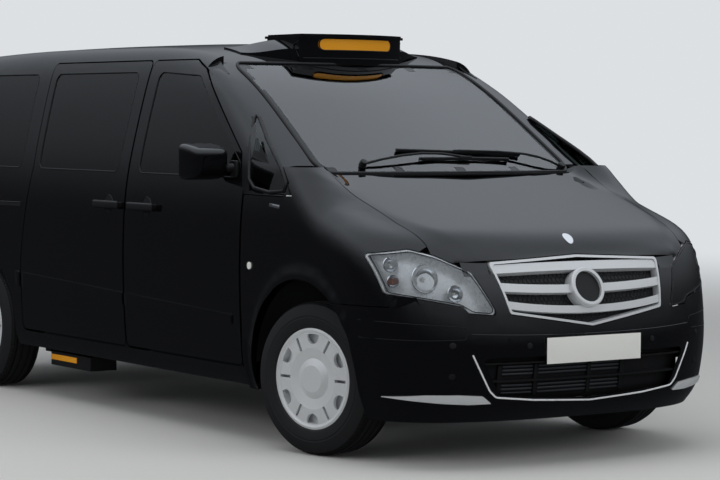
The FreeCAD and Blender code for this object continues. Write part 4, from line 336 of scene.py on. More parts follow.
def done(piece, name, finish, body, angle=30):
    """Name a finished piece, give it its finish and hang it on its body."""
    settle(piece)
    bpy.ops.object.shade_smooth_by_angle(angle=math.radians(angle))
    piece.name = name
    piece.data.name = name
    piece.data.materials.clear()
    piece.data.materials.append(FINISH[finish])
    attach(piece, body)
    return piece


def block(low, high, bevel=0.0, segments=3):
    """Box between two corners with rounded edges."""
    deselect()
    middle = (Vector(low) + Vector(high)) / 2
    bpy.ops.mesh.primitive_cube_add(size=1, location=middle)
    piece = bpy.context.object
    piece.scale = Vector(high) - Vector(low)
    settle(piece)
    if bevel:
        modify(piece, "BEVEL", width=bevel, segments=segments, limit_method="ANGLE")
    return piece


def disc(place, aim, radius, depth, bevel=0.0, sides=48):
    """Round boss that stands along a direction, its outer face at the place."""
    deselect()
    aim = Vector(aim).normalized()
    bpy.ops.mesh.primitive_cylinder_add(vertices=sides, radius=radius, depth=depth,
                                        location=Vector(place) - aim * depth / 2,
                                        rotation=aim.to_track_quat("Z", "Y").to_euler())
    piece = bpy.context.object
    settle(piece)
    if bevel:
        modify(piece, "BEVEL", width=bevel, segments=3, limit_method="ANGLE")
    return piece


def turned(profile, steps=96):
    """Solid of revolution about Y from a closed (radius, offset) profile in millimetres."""
    piece = sheet(profile, "NOTHING", lambda radius, offset: (radius * MM, offset * MM, 0))
    shape((bpy.ops.mesh.spin, {"steps": steps, "angle": 2 * math.pi, "center": (0, 0, 0), "axis": (0, 1, 0)}))
    outward(piece)
    return piece


# Planes clear of the cab that outlines are drawn on: right, ahead, above, behind and in the cabin.
BESIDE_Y = -1.3
BEFORE_X = AXLE_X + 1.2
ABOVE_Z = 2.2
BEHIND_X = AXLE_X - 4.4
CABIN_Z = 1.45
PLANES = {
    "side": (lambda a, b: (ahead(a), BESIDE_Y, b * MM), "y", (0, -1, 0)),
    "front": (lambda a, b: (BEFORE_X, a * MM, b * MM), "x", (1, 0, 0)),
    "top": (lambda a, b: (ahead(a), b * MM, ABOVE_Z), "z", (0, 0, 1)),
    "rear": (lambda a, b: (BEHIND_X, a * MM, b * MM), "x", (-1, 0, 0)),
    "inside": (lambda a, b: (ahead(a), b * MM, CABIN_Z), "z", (0, 0, -1)),
}


def wrap(piece, view, target, lift):
    """Lay a sheet onto a part along a view's axis, and take off the corners that found nothing."""
    place, axis, facing = PLANES[view]
    modify(piece, "SHRINKWRAP", wrap_method="PROJECT", target=frame["nodes"][target], use_negative_direction=True,
           use_positive_direction=True, offset=lift, **{"use_project_" + axis: True})
    k = "xyz".index(axis)
    missed = [abs(vertex.co[k] - place(0, 0)[k]) < 0.01 * MM for vertex in piece.data.vertices]
    if all(missed):
        raise RuntimeError("a laid piece found no part to lie on")
    if any(missed):
        drop(piece, missed)


def panel(rows, thickness):
    """Curved plate on the right through rows of points (station mm, y m, z m), its wall inside it."""
    deselect()
    bpy.ops.mesh.primitive_grid_add(x_subdivisions=len(rows[0]) - 1, y_subdivisions=len(rows) - 1, size=1)
    piece = bpy.context.object
    for vertex, (s, y, z) in zip(piece.data.vertices, [point for row in rows for point in row]):
        vertex.co = (ahead(s), y, z)
    settle(piece)
    if sum(face.normal.y for face in piece.data.polygons) > 0:
        shape((bpy.ops.mesh.flip_normals, {}))
    modify(piece, "SUBSURF", subdivision_type="SIMPLE", levels=2, render_levels=2)
    modify(piece, "SOLIDIFY", thickness=thickness, offset=-1)
    return piece


def laid(outline, view, target, thickness, lift=0.0, rounding=0.0, pitch=25 * MM, bevel=0.0):
    """Thin plate with a flat outline, in millimetres, laid onto a part along one axis."""
    place, axis, facing = PLANES[view]
    piece = sheet(outline, "NGON", place)
    settle(piece)
    bpy.ops.object.mode_set(mode="EDIT")
    bpy.ops.mesh.select_all(action="SELECT")
    if rounding:
        bpy.ops.mesh.bevel(offset=rounding, segments=5, affect="VERTICES")
    corners = [Vector(corner) for corner in piece.bound_box]
    for k in range(3):
        if "xyz"[k] == axis:
            continue
        low = min(corner[k] for corner in corners)
        high = max(corner[k] for corner in corners)
        normal = [0, 0, 0]
        normal[k] = 1
        for turn in range(1, int((high - low) / pitch) + 1):
            at = [0, 0, 0]
            at[k] = low + turn * pitch
            bpy.ops.mesh.select_all(action="SELECT")
            bpy.ops.mesh.bisect(plane_co=at, plane_no=normal)
    bpy.ops.object.mode_set(mode="OBJECT")
    faced(piece, facing)
    wrap(piece, view, target, lift)
    modify(piece, "SOLIDIFY", thickness=thickness, offset=1)
    if bevel:
        modify(piece, "BEVEL", width=bevel, segments=2, limit_method="ANGLE", angle_limit=math.radians(50))
    return piece


def first_hit(node, view, a, b):
    """Where a line along a view's axis first meets a part."""
    place, axis, facing = PLANES[view]
    return frame["nodes"][node].ray_cast(Vector(place(a, b)), -Vector(facing))


def on_skin(node, view, a, b):
    """Point and outward normal where a line along a view's axis first meets a part."""
    found, where, normal, face = first_hit(node, view, a, b)
    if not found:
        raise RuntimeError("nothing of %s at %.0f, %.0f" % (node, a, b))
    return where, normal


def between(points, pitch):
    """Points along a run of straight lines, closer than a pitch."""
    full = []
    for (a, b), (c, d) in zip(points, points[1:]):
        steps = max(1, int(math.hypot(c - a, d - b) / pitch))
        full += [(a + (c - a) * k / steps, b + (d - b) * k / steps) for k in range(steps)]
    return full + [points[-1]]


def bead(points, radius, closed=False, sides=3):
    """Round trim that follows points in metres."""
    deselect()
    bpy.ops.curve.primitive_nurbs_path_add()
    piece = bpy.context.object
    piece.data.splines.clear()
    line = piece.data.splines.new("NURBS")
    line.points.add(len(points) - 1)
    for point, place in zip(line.points, points):
        point.co = (*place, 1)
    line.order_u = 3
    line.use_cyclic_u = closed
    line.use_endpoint_u = not closed
    line.resolution_u = 2
    piece.data.bevel_depth = radius
    piece.data.bevel_resolution = sides
    piece.data.use_fill_caps = not closed
    piece.location = (0, 0, 0)
    only(piece)
    bpy.ops.object.convert(target="MESH")
    piece = bpy.context.object
    settle(piece)
    outward(piece)
    return piece


def traced(outline, view, node, radius, closed=False, lift=0.0, pitch=18):
    """Round trim along a line, in millimetres, drawn on a part's skin; a corner that runs off it is skipped."""
    points = between(list(outline) + ([outline[0]] if closed else []), pitch)
    if closed:
        points = points[:-1]
    places = []
    for a, b in points:
        found, where, normal, face = first_hit(node, view, a, b)
        if not found:
            continue
        if normal.dot(Vector(PLANES[view][2])) < 0:
            normal = -normal
        places.append(where + normal * lift)
    return bead(places, radius, closed)


def joined(pieces):
    """One object from several."""
    deselect()
    for piece in pieces:
        piece.select_set(True)
    bpy.context.view_layer.objects.active = pieces[0]
    bpy.ops.object.join()
    return bpy.context.object


def outline_of(node, view, keep, inset=2.0):
    """Outline of a pane in a view, in millimetres, a little inside its edge."""
    flat = {"side": lambda v: ((v.x - AXLE_X) / MM, v.z / MM), "front": lambda v: (v.y / MM, v.z / MM),
            "rear": lambda v: (v.y / MM, v.z / MM)}[view]
    points = [flat(vertex.co) for vertex in frame["nodes"][node].data.vertices if keep(vertex.co)]
    ring = [Vector(points[k]) for k in convex_hull_2d(points)]
    middle = sum(ring, Vector((0, 0))) / len(ring)
    kept = [ring[0]]
    for point in ring[1:]:
        if (point - kept[-1]).length > 6:
            kept.append(point)
    return [tuple(point + (middle - point).normalized() * inset) for point in kept]


def seal_round(node, view, keep, radius, lift=0.0):
    """Round seal along the edge of one pane."""
    return traced(outline_of(node, view, keep), view, node, radius, True, lift)


def band_round(node, view, keep, width, thickness):
    """Thin dark print along the edge of one pane."""
    place, axis, facing = PLANES[view]
    outer = outline_of(node, view, keep, 3.0)
    middle = sum((Vector(point) for point in outer), Vector((0, 0))) / len(outer)
    ring = []
    for k, point in enumerate(outer):
        before = Vector(outer[k - 1])
        after = Vector(outer[(k + 1) % len(outer)])
        along = (after - before).normalized()
        inward = Vector((-along.y, along.x))
        if inward.dot(middle - Vector(point)) < 0:
            inward = -inward
        ring.append((Vector(point), Vector(point) + inward * width))
    piece = sheet([near for near, far in ring], "NOTHING", place)
    settle(piece)
    shape((bpy.ops.mesh.extrude_region_move, {}))
    for vertex, (near, far) in zip(list(piece.data.vertices)[len(ring):], ring):
        vertex.co = place(*far)
    shape((bpy.ops.mesh.subdivide, {"number_cuts": 3}))
    faced(piece, facing)
    wrap(piece, view, node, 0.6 * MM)
    modify(piece, "SOLIDIFY", thickness=thickness, offset=1)
    return piece


def aimed(piece, place, aim):
    """Stand a piece that was turned about Y on a place, with Y along a direction."""
    turn = Vector(aim).normalized().to_track_quat("Y", "Z")
    piece.matrix_world = Matrix.Translation(place) @ turn.to_matrix().to_4x4()
    settle(piece)
    return piece


def mirrored(piece):
    """Copy of a piece on the other side, with its own mesh."""
    only(piece)
    bpy.ops.object.duplicate()
    copy = bpy.context.object
    copy.parent = None
    copy.scale = (1, -1, 1)
    settle(copy)
    shape((bpy.ops.mesh.flip_normals, {}))
    return copy


def both_sides(make, name, finish, bodies, angle=30):
    """Finish a right-hand piece and its mirror; bodies are right and left."""
    right = make()
    left = mirrored(right)
    done(right, name + "_right", finish, bodies[0], angle)
    done(left, name + "_left", finish, bodies[1], angle)
    return right, left


BODY = ("cab_body", "cab_body")
DOORS = ("door_front_right", "door_front_left")


# Pieces

class CAB_OT_tyres(bpy.types.Operator):
    """Tyres with grooves and cut tread blocks"""
    bl_idname = "cab.tyres"
    bl_label = "Tyres"

    def execute(self, context):
        depth = context.scene.cab_sizes.tread_depth / MM
        low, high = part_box("tyre_rear_left")
        radius = (high.z - low.z) / 2 / MM
        half = (high.y - low.y) / 2 / MM
        bead = 204.0
        side = [(bead, half - 22), (bead + 16, half - 13), (bead + 24, half - 5), (bead + 40, half - 1),
                (bead + 62, half), (bead + 64, half - 1.5), (bead + 70, half - 1.5), (bead + 72, half - 0.5),
                (radius - 30, half - 7), (radius - 12, half - 16), (radius - 4, half - 26), (radius - 1, half - 38)]
        profile = list(side)
        grooves = (half - 48, half - 82)
        for place in (grooves[0], grooves[1], -grooves[1], -grooves[0]):
            top = radius - 1 + (1 - abs(place) / half)
            profile += [(top, place + 6), (radius - depth, place + 4), (radius - depth, place - 4), (top, place - 6)]
        profile += [(r, -y) for r, y in reversed(side)]
        for corner in ("front_right", "front_left", "rear_right", "rear_left"):
            tyre = turned(profile, 120)
            marks = []
            for face in tyre.data.polygons:
                reach = math.hypot(face.center.x, face.center.z)
                turn = round(math.degrees(math.atan2(face.center.z, face.center.x)) / 3 - 0.5)
                marks.append(reach > (radius - 13) * MM and abs(face.center.y) > (half - 50) * MM and turn % 2 == 0)
            select_only(marks, tyre.data.polygons)
            bpy.ops.mesh.inset(thickness=0.5 * MM, depth=-3.5 * MM, use_individual=True)
            bpy.ops.object.mode_set(mode="OBJECT")
            self.place(tyre, corner)
            done(tyre, "tread_" + corner, "rubber", "wheel_" + corner, 25)
            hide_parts("tyre_" + corner)
        return {"FINISHED"}

    @staticmethod
    def place(piece, corner):
        low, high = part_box("tyre_" + corner)
        piece.location = (low + high) / 2
        if corner.startswith("front"):
            piece.rotation_euler = (0, 0, REST_STEER)
        settle(piece)


class CAB_OT_side_trim(bpy.types.Operator):
    """Strips, handles, rails, repeaters and badges along the sides"""
    bl_idname = "cab.side_trim"
    bl_label = "Side trim"

    def execute(self, context):
        lift = context.scene.cab_sizes.strip_lift

        def low(s):
            return 532 - (s + 565) * 0.0181

        def high(s):
            return 578 - (s + 562) * 0.0351

        runs = (("quarter_strip", "body_sides", -2740, -2692, BODY),
                ("slide_strip", "sliding_doors", -2664, -1582, BODY),
                ("front_strip", "front_door_right", -1560, -560, DOORS))
        for name, node, start, end, bodies in runs:
            both_sides(lambda: laid([(start, low(start)), (end, low(end)), (end, high(end)), (start, high(start))],
                                    "side", node, lift, rounding=8 * MM, bevel=2 * MM), name, "gloss", bodies)
        pulls = (("slide_handle", "sliding_doors", -1721, -1738, BODY),
                 ("front_handle", "front_door_right", -1380, -1356, DOORS))
        for name, node, middle, cup, bodies in pulls:
            both_sides(lambda: laid(ring_of(cup, 1038, 46, 24), "side", node, 0.6 * MM, pitch=15 * MM), name + "_cup",
                       "seal", bodies)
            both_sides(lambda: traced(ring_of(cup, 1038, 46, 24), "side", node, 1.5 * MM, True), name + "_rim",
                       "gloss", bodies)
            both_sides(lambda: self.pull(node, middle), name, "grain", bodies)
        both_sides(lambda: laid([(-2690, 996), (-3720, 986), (-3720, 1000), (-2690, 1012)], "side", "body_sides",
                                1 * MM, pitch=30 * MM), "slide_rail", "grain", BODY)
        both_sides(lambda: traced([(-2690, 1016), (-3720, 1004)], "side", "body_sides", 2.5 * MM), "slide_rail_lip",
                   "gloss", BODY)
        both_sides(lambda: laid(ring_of(-403, 807, 17, 20), "side", "front_wings", 6 * MM, pitch=9 * MM, bevel=2 * MM),
                   "repeater", "lens_white", BODY)
        both_sides(lambda: laid([(-262, 1077), (-178, 1069), (-178, 1084), (-262, 1092)], "side", "front_wings",
                                2 * MM, rounding=3 * MM, pitch=20 * MM, bevel=0.6 * MM), "wing_badge", "chrome", BODY)
        return {"FINISHED"}

    @staticmethod
    def pull(node, middle):
        where, normal = on_skin(node, "side", middle, 1038)
        skin = where.y
        bar = block((ahead(middle - 125), skin - 0.034, 1.019), (ahead(middle + 125), skin - 0.014, 1.057), 9 * MM, 4)
        feet = [block((ahead(middle + end * 108) - 13 * MM, skin - 0.02, 1.024),
                      (ahead(middle + end * 108) + 13 * MM, skin + 0.006, 1.052), 5 * MM) for end in (-1, 1)]
        return joined([bar] + feet)


class CAB_OT_roof_sign(bpy.types.Operator):
    """Rim of the blank amber lens and seams of the roof sign"""
    bl_idname = "cab.roof_sign"
    bl_label = "Roof sign"

    def execute(self, context):
        rim = seal_round("roof_sign_lens", "front", lambda v: True, 3 * MM)
        done(rim, "sign_lens_rim", "seal", "cab_body")
        for side in (-1, 1):
            seam = traced([(side * 300, 1765), (side * 306, 1800), (side * 300, 1840)], "front", "roof_sign_pod",
                          2.5 * MM)
            done(seam, "sign_seam_%s" % ("right" if side < 0 else "left"), "seal", "cab_body")
        foot = traced([(y, 1758) for y in range(-280, 281, 20)], "front", "roof_sign_pod", 3 * MM)
        done(foot, "sign_gasket", "seal", "cab_body")
        return {"FINISHED"}


class CAB_OT_seals(bpy.types.Operator):
    """Rubber seals, screen print and edge mouldings of the glass"""
    bl_idname = "cab.seals"
    bl_label = "Glass seals"

    def execute(self, context):
        radius = context.scene.cab_sizes.seal_radius
        panes = (("quarter_seal", "fixed_side_glass", lambda v: v.y < 0 and v.x < 0, BODY),
                 ("slide_seal", "sliding_door_glass", lambda v: v.y < 0, BODY),
                 ("front_seal", "front_door_glass_right", lambda v: v.y < 0, DOORS))
        for name, node, keep, bodies in panes:
            both_sides(lambda: seal_round(node, "side", keep, radius), name, "seal", bodies, 60)
        done(seal_round("windscreen", "front", lambda v: True, radius * 1.6, 2 * MM), "screen_moulding", "grain",
             "cab_body", 60)
        done(band_round("windscreen", "front", lambda v: True, 26, 0.5 * MM), "screen_print", "print", "cab_body",
             60)
        done(seal_round("tailgate_glass", "rear", lambda v: True, radius), "gate_seal", "seal", "tailgate_lid",
             60)
        both_sides(lambda: traced([(-452, 1139), (-380, 1135), (-210, 1126), (-92, 1129)], "side", "front_wings",
                                  2.5 * MM), "quarter_bright", "satin", BODY)
        sail = [[(-494, -0.935, 1.142), (-436, -0.935, 1.142)], [(-520, -0.92, 1.24), (-462, -0.919, 1.24)],
                [(-552, -0.897, 1.32), (-496, -0.893, 1.32)], [(-586, -0.874, 1.38), (-532, -0.868, 1.38)],
                [(-644, -0.822, 1.475), (-604, -0.81, 1.475)]]
        both_sides(lambda: panel(sail, 8 * MM), "mirror_sail", "grain", BODY, 60)
        pane = [[(-440, -0.932, 1.145), (-96, -0.935, 1.132)], [(-468, -0.914, 1.24), (-194, -0.911, 1.24)],
                [(-500, -0.888, 1.32), (-318, -0.882, 1.32)], [(-540, -0.862, 1.38), (-424, -0.85, 1.38)],
                [(-604, -0.80, 1.48), (-584, -0.79, 1.48)]]
        both_sides(lambda: panel(pane, 4 * MM), "quarter_pane", "side_glass", BODY, 60)
        ring = [row[0] for row in pane] + [row[1] for row in reversed(pane)]
        both_sides(lambda: bead([Vector((ahead(s), y, z)) for s, y, z in ring], 9 * MM, True), "quarter_frame",
                   "grain", BODY, 60)
        return {"FINISHED"}


class CAB_OT_wipers(bpy.types.Operator):
    """Two wiper arms with blades at rest on the windscreen"""
    bl_idname = "cab.wipers"
    bl_label = "Wipers"

    def execute(self, context):
        wipers = (("right", (-177, -498, 1255), (-198, -87, 1299), (-170, -190, 1278), (-176, 330, 1274)),
                  ("left", (-185, 657, 1237), (-226, 403, 1297), (-240, -272, 1317), (-222, 430, 1292)))
        for name, pivot, elbow, start, end in wipers:
            pivot, elbow, start, end = (Vector((ahead(s), y * MM, z * MM)) for s, y, z in (pivot, elbow, start, end))
            out = Vector((0.64, 0, 0.77))
            arm = bead([pivot + out * 0.012, pivot.lerp(elbow, 0.3) + out * 0.034, elbow + out * 0.03,
                        start.lerp(end, 0.5) + out * 0.024], 6 * MM)
            hub = disc(pivot + out * 0.03, out, 17 * MM, 34 * MM, 4 * MM, 24)
            spine = bead([start + out * 0.014, start.lerp(end, 0.5) + out * 0.02, end + out * 0.014], 6 * MM)
            edge = bead([start + out * 0.005, start.lerp(end, 0.5) + out * 0.006, end + out * 0.005], 3.5 * MM)
            clip = block(start.lerp(end, 0.5) + out * 0.02 - Vector((0.008, 0.035, 0.008)),
                         start.lerp(end, 0.5) + out * 0.02 + Vector((0.008, 0.035, 0.008)), 3 * MM)
            done(joined([arm, hub, spine, edge, clip]), "wiper_" + name, "grain", "cab_body", 50)
        return {"FINISHED"}


class CAB_OT_headlamps(bpy.types.Operator):
    """Reflector bowls and bulbs behind the clear lenses"""
    bl_idname = "cab.headlamps"
    bl_label = "Headlamps"

    def execute(self, context):
        bowls = (("main_beam", -742, 806, 58, 40), ("high_beam", -852, 862, 30, 26), ("indicator", -856, 792, 24, 22),
                 ("side_lamp", -640, 742, 34, 26))
        for name, y, z, radius, depth in bowls:
            both_sides(lambda: self.bowl(y, z, radius, depth), name, "chrome", BODY)
            both_sides(lambda: self.bulb(y, z, radius, depth), name + "_bulb",
                       "bulb" if name == "indicator" else "lens_white", BODY)
        edge = [(-914, 902), (-780, 922), (-690, 896), (-560, 826), (-480, 652), (-600, 662), (-622, 690),
                (-884, 742)]
        middle = Vector((-720, 800))
        edge = [tuple(Vector(p) + (middle - Vector(p)).normalized() * 9) for p in edge]
        both_sides(lambda: traced(edge, "front", "headlamp_lenses", 2 * MM, True), "lamp_gasket", "seal", BODY,
                   60)
        return {"FINISHED"}

    @staticmethod
    def seat(y, z, sink):
        where, normal = on_skin("headlamp_lenses", "front", y, z)
        aim = (normal + Vector((1.4, 0, 0))).normalized()
        return where - aim * sink * MM, aim

    def bowl(self, y, z, radius, depth):
        place, aim = self.seat(y, z, radius * 0.5)
        wall = 3
        profile = [(radius + wall, 0), (radius, 2), (radius - 1, 0), (radius * 0.9, -depth * 0.35),
                   (radius * 0.6, -depth * 0.8), (radius * 0.2, -depth), (1, -depth), (1, -depth - wall),
                   (radius * 0.25, -depth - wall), (radius * 0.65, -depth * 0.8 - wall),
                   (radius * 0.95, -depth * 0.35 - wall)]
        return aimed(turned(profile, 48), place, aim)

    def bulb(self, y, z, radius, depth):
        place, aim = self.seat(y, z, radius * 0.5)
        profile = [(0.5, -depth * 0.25), (radius * 0.12, -depth * 0.3), (radius * 0.17, -depth * 0.5),
                   (radius * 0.17, -depth + 1), (0.5, -depth + 1)]
        return aimed(turned(profile, 24), place, aim)


class CAB_OT_grille(bpy.types.Operator):
    """Honeycomb and radiator fins behind the grille and the intake"""
    bl_idname = "cab.grille"
    bl_label = "Grille"

    def execute(self, context):
        pitch = context.scene.cab_sizes.comb_pitch
        done(self.honeycomb(pitch), "grille_honeycomb", "comb", "cab_body")
        fins = []
        for row in (432, 416, 400, 352, 336, 320):
            for start, end in ((-443, -296), (-268, -10), (14, 172)):
                fins.append(laid([(start, row - 4), (end, row - 4), (end, row + 4), (start, row + 4)], "front",
                                 "intake_grid", 9 * MM, pitch=60 * MM, bevel=1.5 * MM))
        done(joined(fins), "radiator_fins", "fin", "cab_body")
        posts = [laid([(y - 10, 308), (y + 10, 308), (y + 10, 440), (y - 10, 440)], "front", "intake_grid", 12 * MM,
                      pitch=60 * MM, bevel=2 * MM) for y in (-456, -282, 2, 186)]
        done(joined(posts), "radiator_posts", "grain", "cab_body")
        return {"FINISHED"}

    @staticmethod
    def honeycomb(pitch):
        radius = pitch / math.sqrt(3)
        deselect()
        bpy.ops.mesh.primitive_circle_add(vertices=6, radius=radius, fill_type="NGON",
                                          location=(BEFORE_X, -21 * pitch, 0.595),
                                          rotation=(math.pi / 2, 0, math.pi / 2))
        piece = bpy.context.object
        settle(piece)
        modify(piece, "ARRAY", count=43, use_relative_offset=False, use_constant_offset=True,
               constant_offset_displace=(0, pitch, 0), use_merge_vertices=True, merge_threshold=0.5 * MM)
        only(piece)
        bpy.ops.object.duplicate()
        shifted = bpy.context.object
        shifted.location = (0, pitch / 2, radius * 1.5)
        settle(shifted)
        piece = joined([piece, shifted])
        modify(piece, "ARRAY", count=9, use_relative_offset=False, use_constant_offset=True,
               constant_offset_displace=(0, 0, radius * 3), use_merge_vertices=True, merge_threshold=0.5 * MM)
        bpy.ops.object.mode_set(mode="EDIT")
        bpy.ops.mesh.select_all(action="SELECT")
        bpy.ops.mesh.remove_doubles(threshold=0.5 * MM)
        half = ((0, 884), (452, 862), (406, 662), (0, 602))
        outline = list(half) + [(-y, z) for y, z in reversed(half[1:3])]
        for (a, b), (c, d) in zip(outline, outline[1:] + outline[:1]):
            bpy.ops.mesh.select_all(action="SELECT")
            out = Vector((0, -(d - b), c - a)).normalized()
            bpy.ops.mesh.bisect(plane_co=(BEFORE_X, a * MM, b * MM), plane_no=out, clear_outer=True)
        bpy.ops.object.mode_set(mode="OBJECT")
        modify(piece, "SHRINKWRAP", wrap_method="PROJECT", target=frame["nodes"]["grille_mesh"], use_project_x=True,
               use_negative_direction=True, use_positive_direction=False, offset=2 * MM)
        ring_z, ring_inside = 0.749, 0.078
        drop(piece, [abs(v.co.x - BEFORE_X) < 1 * MM or math.hypot(v.co.y, v.co.z - ring_z) < ring_inside
                     for v in piece.data.vertices])
        modify(piece, "WIREFRAME", thickness=4 * MM, use_boundary=True, use_even_offset=False)
        return piece


class CAB_OT_mirrors(bpy.types.Operator):
    """Rounded mirror heads on their arms"""
    bl_idname = "cab.mirrors"
    bl_label = "Mirrors"

    def execute(self, context):
        low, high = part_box("mirror_right")
        right = self.shell(low, high)
        left = mirrored(right)
        for piece, side, body in ((right, "right", DOORS[0]), (left, "left", DOORS[1])):
            done(piece, "mirror_head_" + side, "gloss", body, 60)
            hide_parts("mirror_" + side)
        both_sides(lambda: self.arm(low, high), "mirror_arm", "grain", DOORS, 60)
        both_sides(lambda: self.glass(low, high), "mirror_glass", "mirror", DOORS, 60)
        return {"FINISHED"}

    @staticmethod
    def shell(low, high):
        """Mirror head: blunt to the front, square to the rear."""
        rear = low.x
        front = low.x + 0.15
        piece = block((rear, low.y, low.z + 0.004), (front, low.y + 0.2, high.z))
        bpy.ops.object.mode_set(mode="EDIT")
        bpy.ops.mesh.select_all(action="SELECT")
        bpy.ops.mesh.subdivide(number_cuts=3)
        bpy.ops.object.mode_set(mode="OBJECT")
        middle = Vector(((rear + front) / 2, low.y + 0.1, (low.z + high.z) / 2))
        half = Vector(((front - rear) / 2, 0.1, (high.z - low.z) / 2))
        for vertex in piece.data.vertices:
            share = Vector((vertex.co[k] - middle[k]) / half[k] for k in range(3))
            ahead_share = (share.x + 1) / 2
            taper = 1 - 0.32 * ahead_share ** 2
            vertex.co.y = middle.y + share.y * half.y * (1 - 0.16 * ahead_share ** 2)
            vertex.co.z = middle.z + share.z * half.z * taper - 0.004 * ahead_share
        modify(piece, "SUBSURF", levels=2, render_levels=2)
        grown = Vector(max(abs(vertex.co[k] - middle[k]) for vertex in piece.data.vertices) for k in range(3))
        for vertex in piece.data.vertices:
            for k in range(3):
                vertex.co[k] = middle[k] + (vertex.co[k] - middle[k]) * half[k] / grown[k]
        return piece

    @staticmethod
    def arm(low, high):
        foot = block((high.x - 0.055, high.y - 0.018, 1.2), (high.x, high.y + 0.0, 1.275), 6 * MM)
        neck = bead([Vector((high.x - 0.028, high.y - 0.004, 1.245)), Vector((high.x - 0.04, high.y - 0.03, 1.24)),
                     Vector((low.x + 0.1, low.y + 0.17, 1.235))], 19 * MM, False, 5)
        return joined([foot, neck])

    @staticmethod
    def glass(low, high):
        return block((low.x - 0.0005, low.y + 0.028, low.z + 0.03), (low.x + 0.006, low.y + 0.178, high.z - 0.022),
                     2 * MM)


class CAB_OT_cabin(bpy.types.Operator):
    """Padded seats, head restraints, roof lining and seat plinths"""
    bl_idname = "cab.cabin"
    bl_label = "Cabin"

    def execute(self, context):
        lining = laid([(-3780, -600), (-1080, -600), (-1080, 600), (-3780, 600)], "inside", "roof_panel", 4 * MM,
                      lift=3 * MM, pitch=60 * MM)
        done(lining, "roof_lining", "lining", "cab_body", 60)
        lean = math.radians(-14)
        driver = (ahead(-1140), -0.4)
        pads = [self.pad("driver_cushion", 0.49, 0.48, 0.13, (driver[0], driver[1], 0.685), 0.0),
                self.pad("driver_back", 0.12, 0.47, 0.6, (driver[0] - 0.3, driver[1], 0.985), lean)]
        bench = self.pad("bench_cushion_middle", 0.49, 0.37, 0.13, (ahead(-3165), 0.0, 0.61), 0.0)
        back = self.pad("bench_back_middle", 0.12, 0.37, 0.58, (ahead(-3515), 0.0, 0.86), lean)
        pads += [bench, back]
        for source in (bench, back):
            for name, shift in (("right", -0.38), ("left", 0.38)):
                pads.append(self.copy(source, source.name.replace("middle", name), (0, shift, 0)))
        rest = self.pad("driver_head_restraint", 0.09, 0.26, 0.17, (driver[0] - 0.395, driver[1], 1.375), lean)
        pads.append(rest)
        for name, y in (("right", -0.38), ("middle", 0.0), ("left", 0.38)):
            pads.append(self.copy(rest, "bench_head_restraint_" + name,
                                  (ahead(-3612) - driver[0] + 0.395, y - driver[1], -0.13)))
        for piece in pads:
            done(piece, piece.name, "seat", "cab_body", 60)
        for piece in pads:
            if "restraint" not in piece.name:
                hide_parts("seats")
        posts = []
        for x, y, z in [(driver[0] - 0.378, driver[1], 1.24)] + [(ahead(-3594), y, 1.11) for y in (-0.38, 0.0, 0.38)]:
            for side in (-0.06, 0.06):
                posts.append(bead([Vector((x, y + side, z)), Vector((x - 0.01, y + side, z + 0.05)),
                                   Vector((x - 0.024, y + side, z + 0.1))], 6 * MM))
        done(joined(posts), "restraint_posts", "satin", "cab_body", 60)
        plinths = [block((driver[0] - 0.17, driver[1] - 0.17, 0.431), (driver[0] + 0.17, driver[1] + 0.17, 0.625),
                         14 * MM),
                   block((ahead(-3400), -0.56, 0.431), (ahead(-2940), 0.56, 0.55), 14 * MM)]
        done(joined(plinths), "seat_plinths", "dash", "cab_body", 60)
        return {"FINISHED"}

    @staticmethod
    def copy(source, name, shift):
        only(source)
        bpy.ops.object.duplicate()
        piece = bpy.context.object
        piece.location = shift
        settle(piece)
        piece.name = name
        return piece

    @staticmethod
    def pad(name, deep, wide, tall, place, lean):
        """Crowned pad: a shrunken block blown up as cloth, and laid in its place."""
        cap = 0.024
        piece = block((-deep / 2 + 0.018, -wide / 2 + 0.016, -tall / 2 + 0.018),
                      (deep / 2 - 0.018, wide / 2 - 0.016, tall / 2 - 0.018), 16 * MM, 3)
        only(piece)
        piece.data.remesh_voxel_size = 0.006
        bpy.ops.object.voxel_remesh()
        rest = [vertex.co.copy() for vertex in piece.data.vertices]
        cloth = piece.modifiers.new("Cloth", "CLOTH")
        cloth.settings.use_pressure = True
        cloth.settings.uniform_pressure_force = 4.0
        cloth.settings.effector_weights.gravity = 0.0
        cloth.point_cache.frame_start = 1
        cloth.point_cache.frame_end = 20
        for step in range(1, 21):
            bpy.context.scene.frame_set(step)
        only(piece)
        bpy.ops.object.modifier_apply(modifier=cloth.name)
        bpy.context.scene.frame_set(1)
        for vertex, start in zip(piece.data.vertices, rest):
            move = vertex.co - start
            if move.length > cap:
                vertex.co = start + move * (cap / move.length)
        piece.matrix_world = Matrix.Translation(place) @ Matrix.Rotation(lean, 4, "Y")
        settle(piece)
        piece.name = name
        return piece


class CAB_OT_wheels(bpy.types.Operator):
    """Ring round the bare cap place of each wheel cover"""
    bl_idname = "cab.wheels"
    bl_label = "Cap rings"

    def execute(self, context):
        for corner in ("front_right", "front_left", "rear_right", "rear_left"):
            side = -1 if corner.endswith("right") else 1
            turn = REST_STEER if corner.startswith("front") else 0.0
            aim = Matrix.Rotation(turn, 3, "Z") @ Vector((0, side, 0))
            low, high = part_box("tyre_" + corner)
            ring = aimed(turned([(72, 73), (74, 76), (79, 76), (81, 73)], 64), (low + high) / 2, aim)
            done(ring, "cap_ring_" + corner, "seal", "wheel_" + corner)
        return {"FINISHED"}


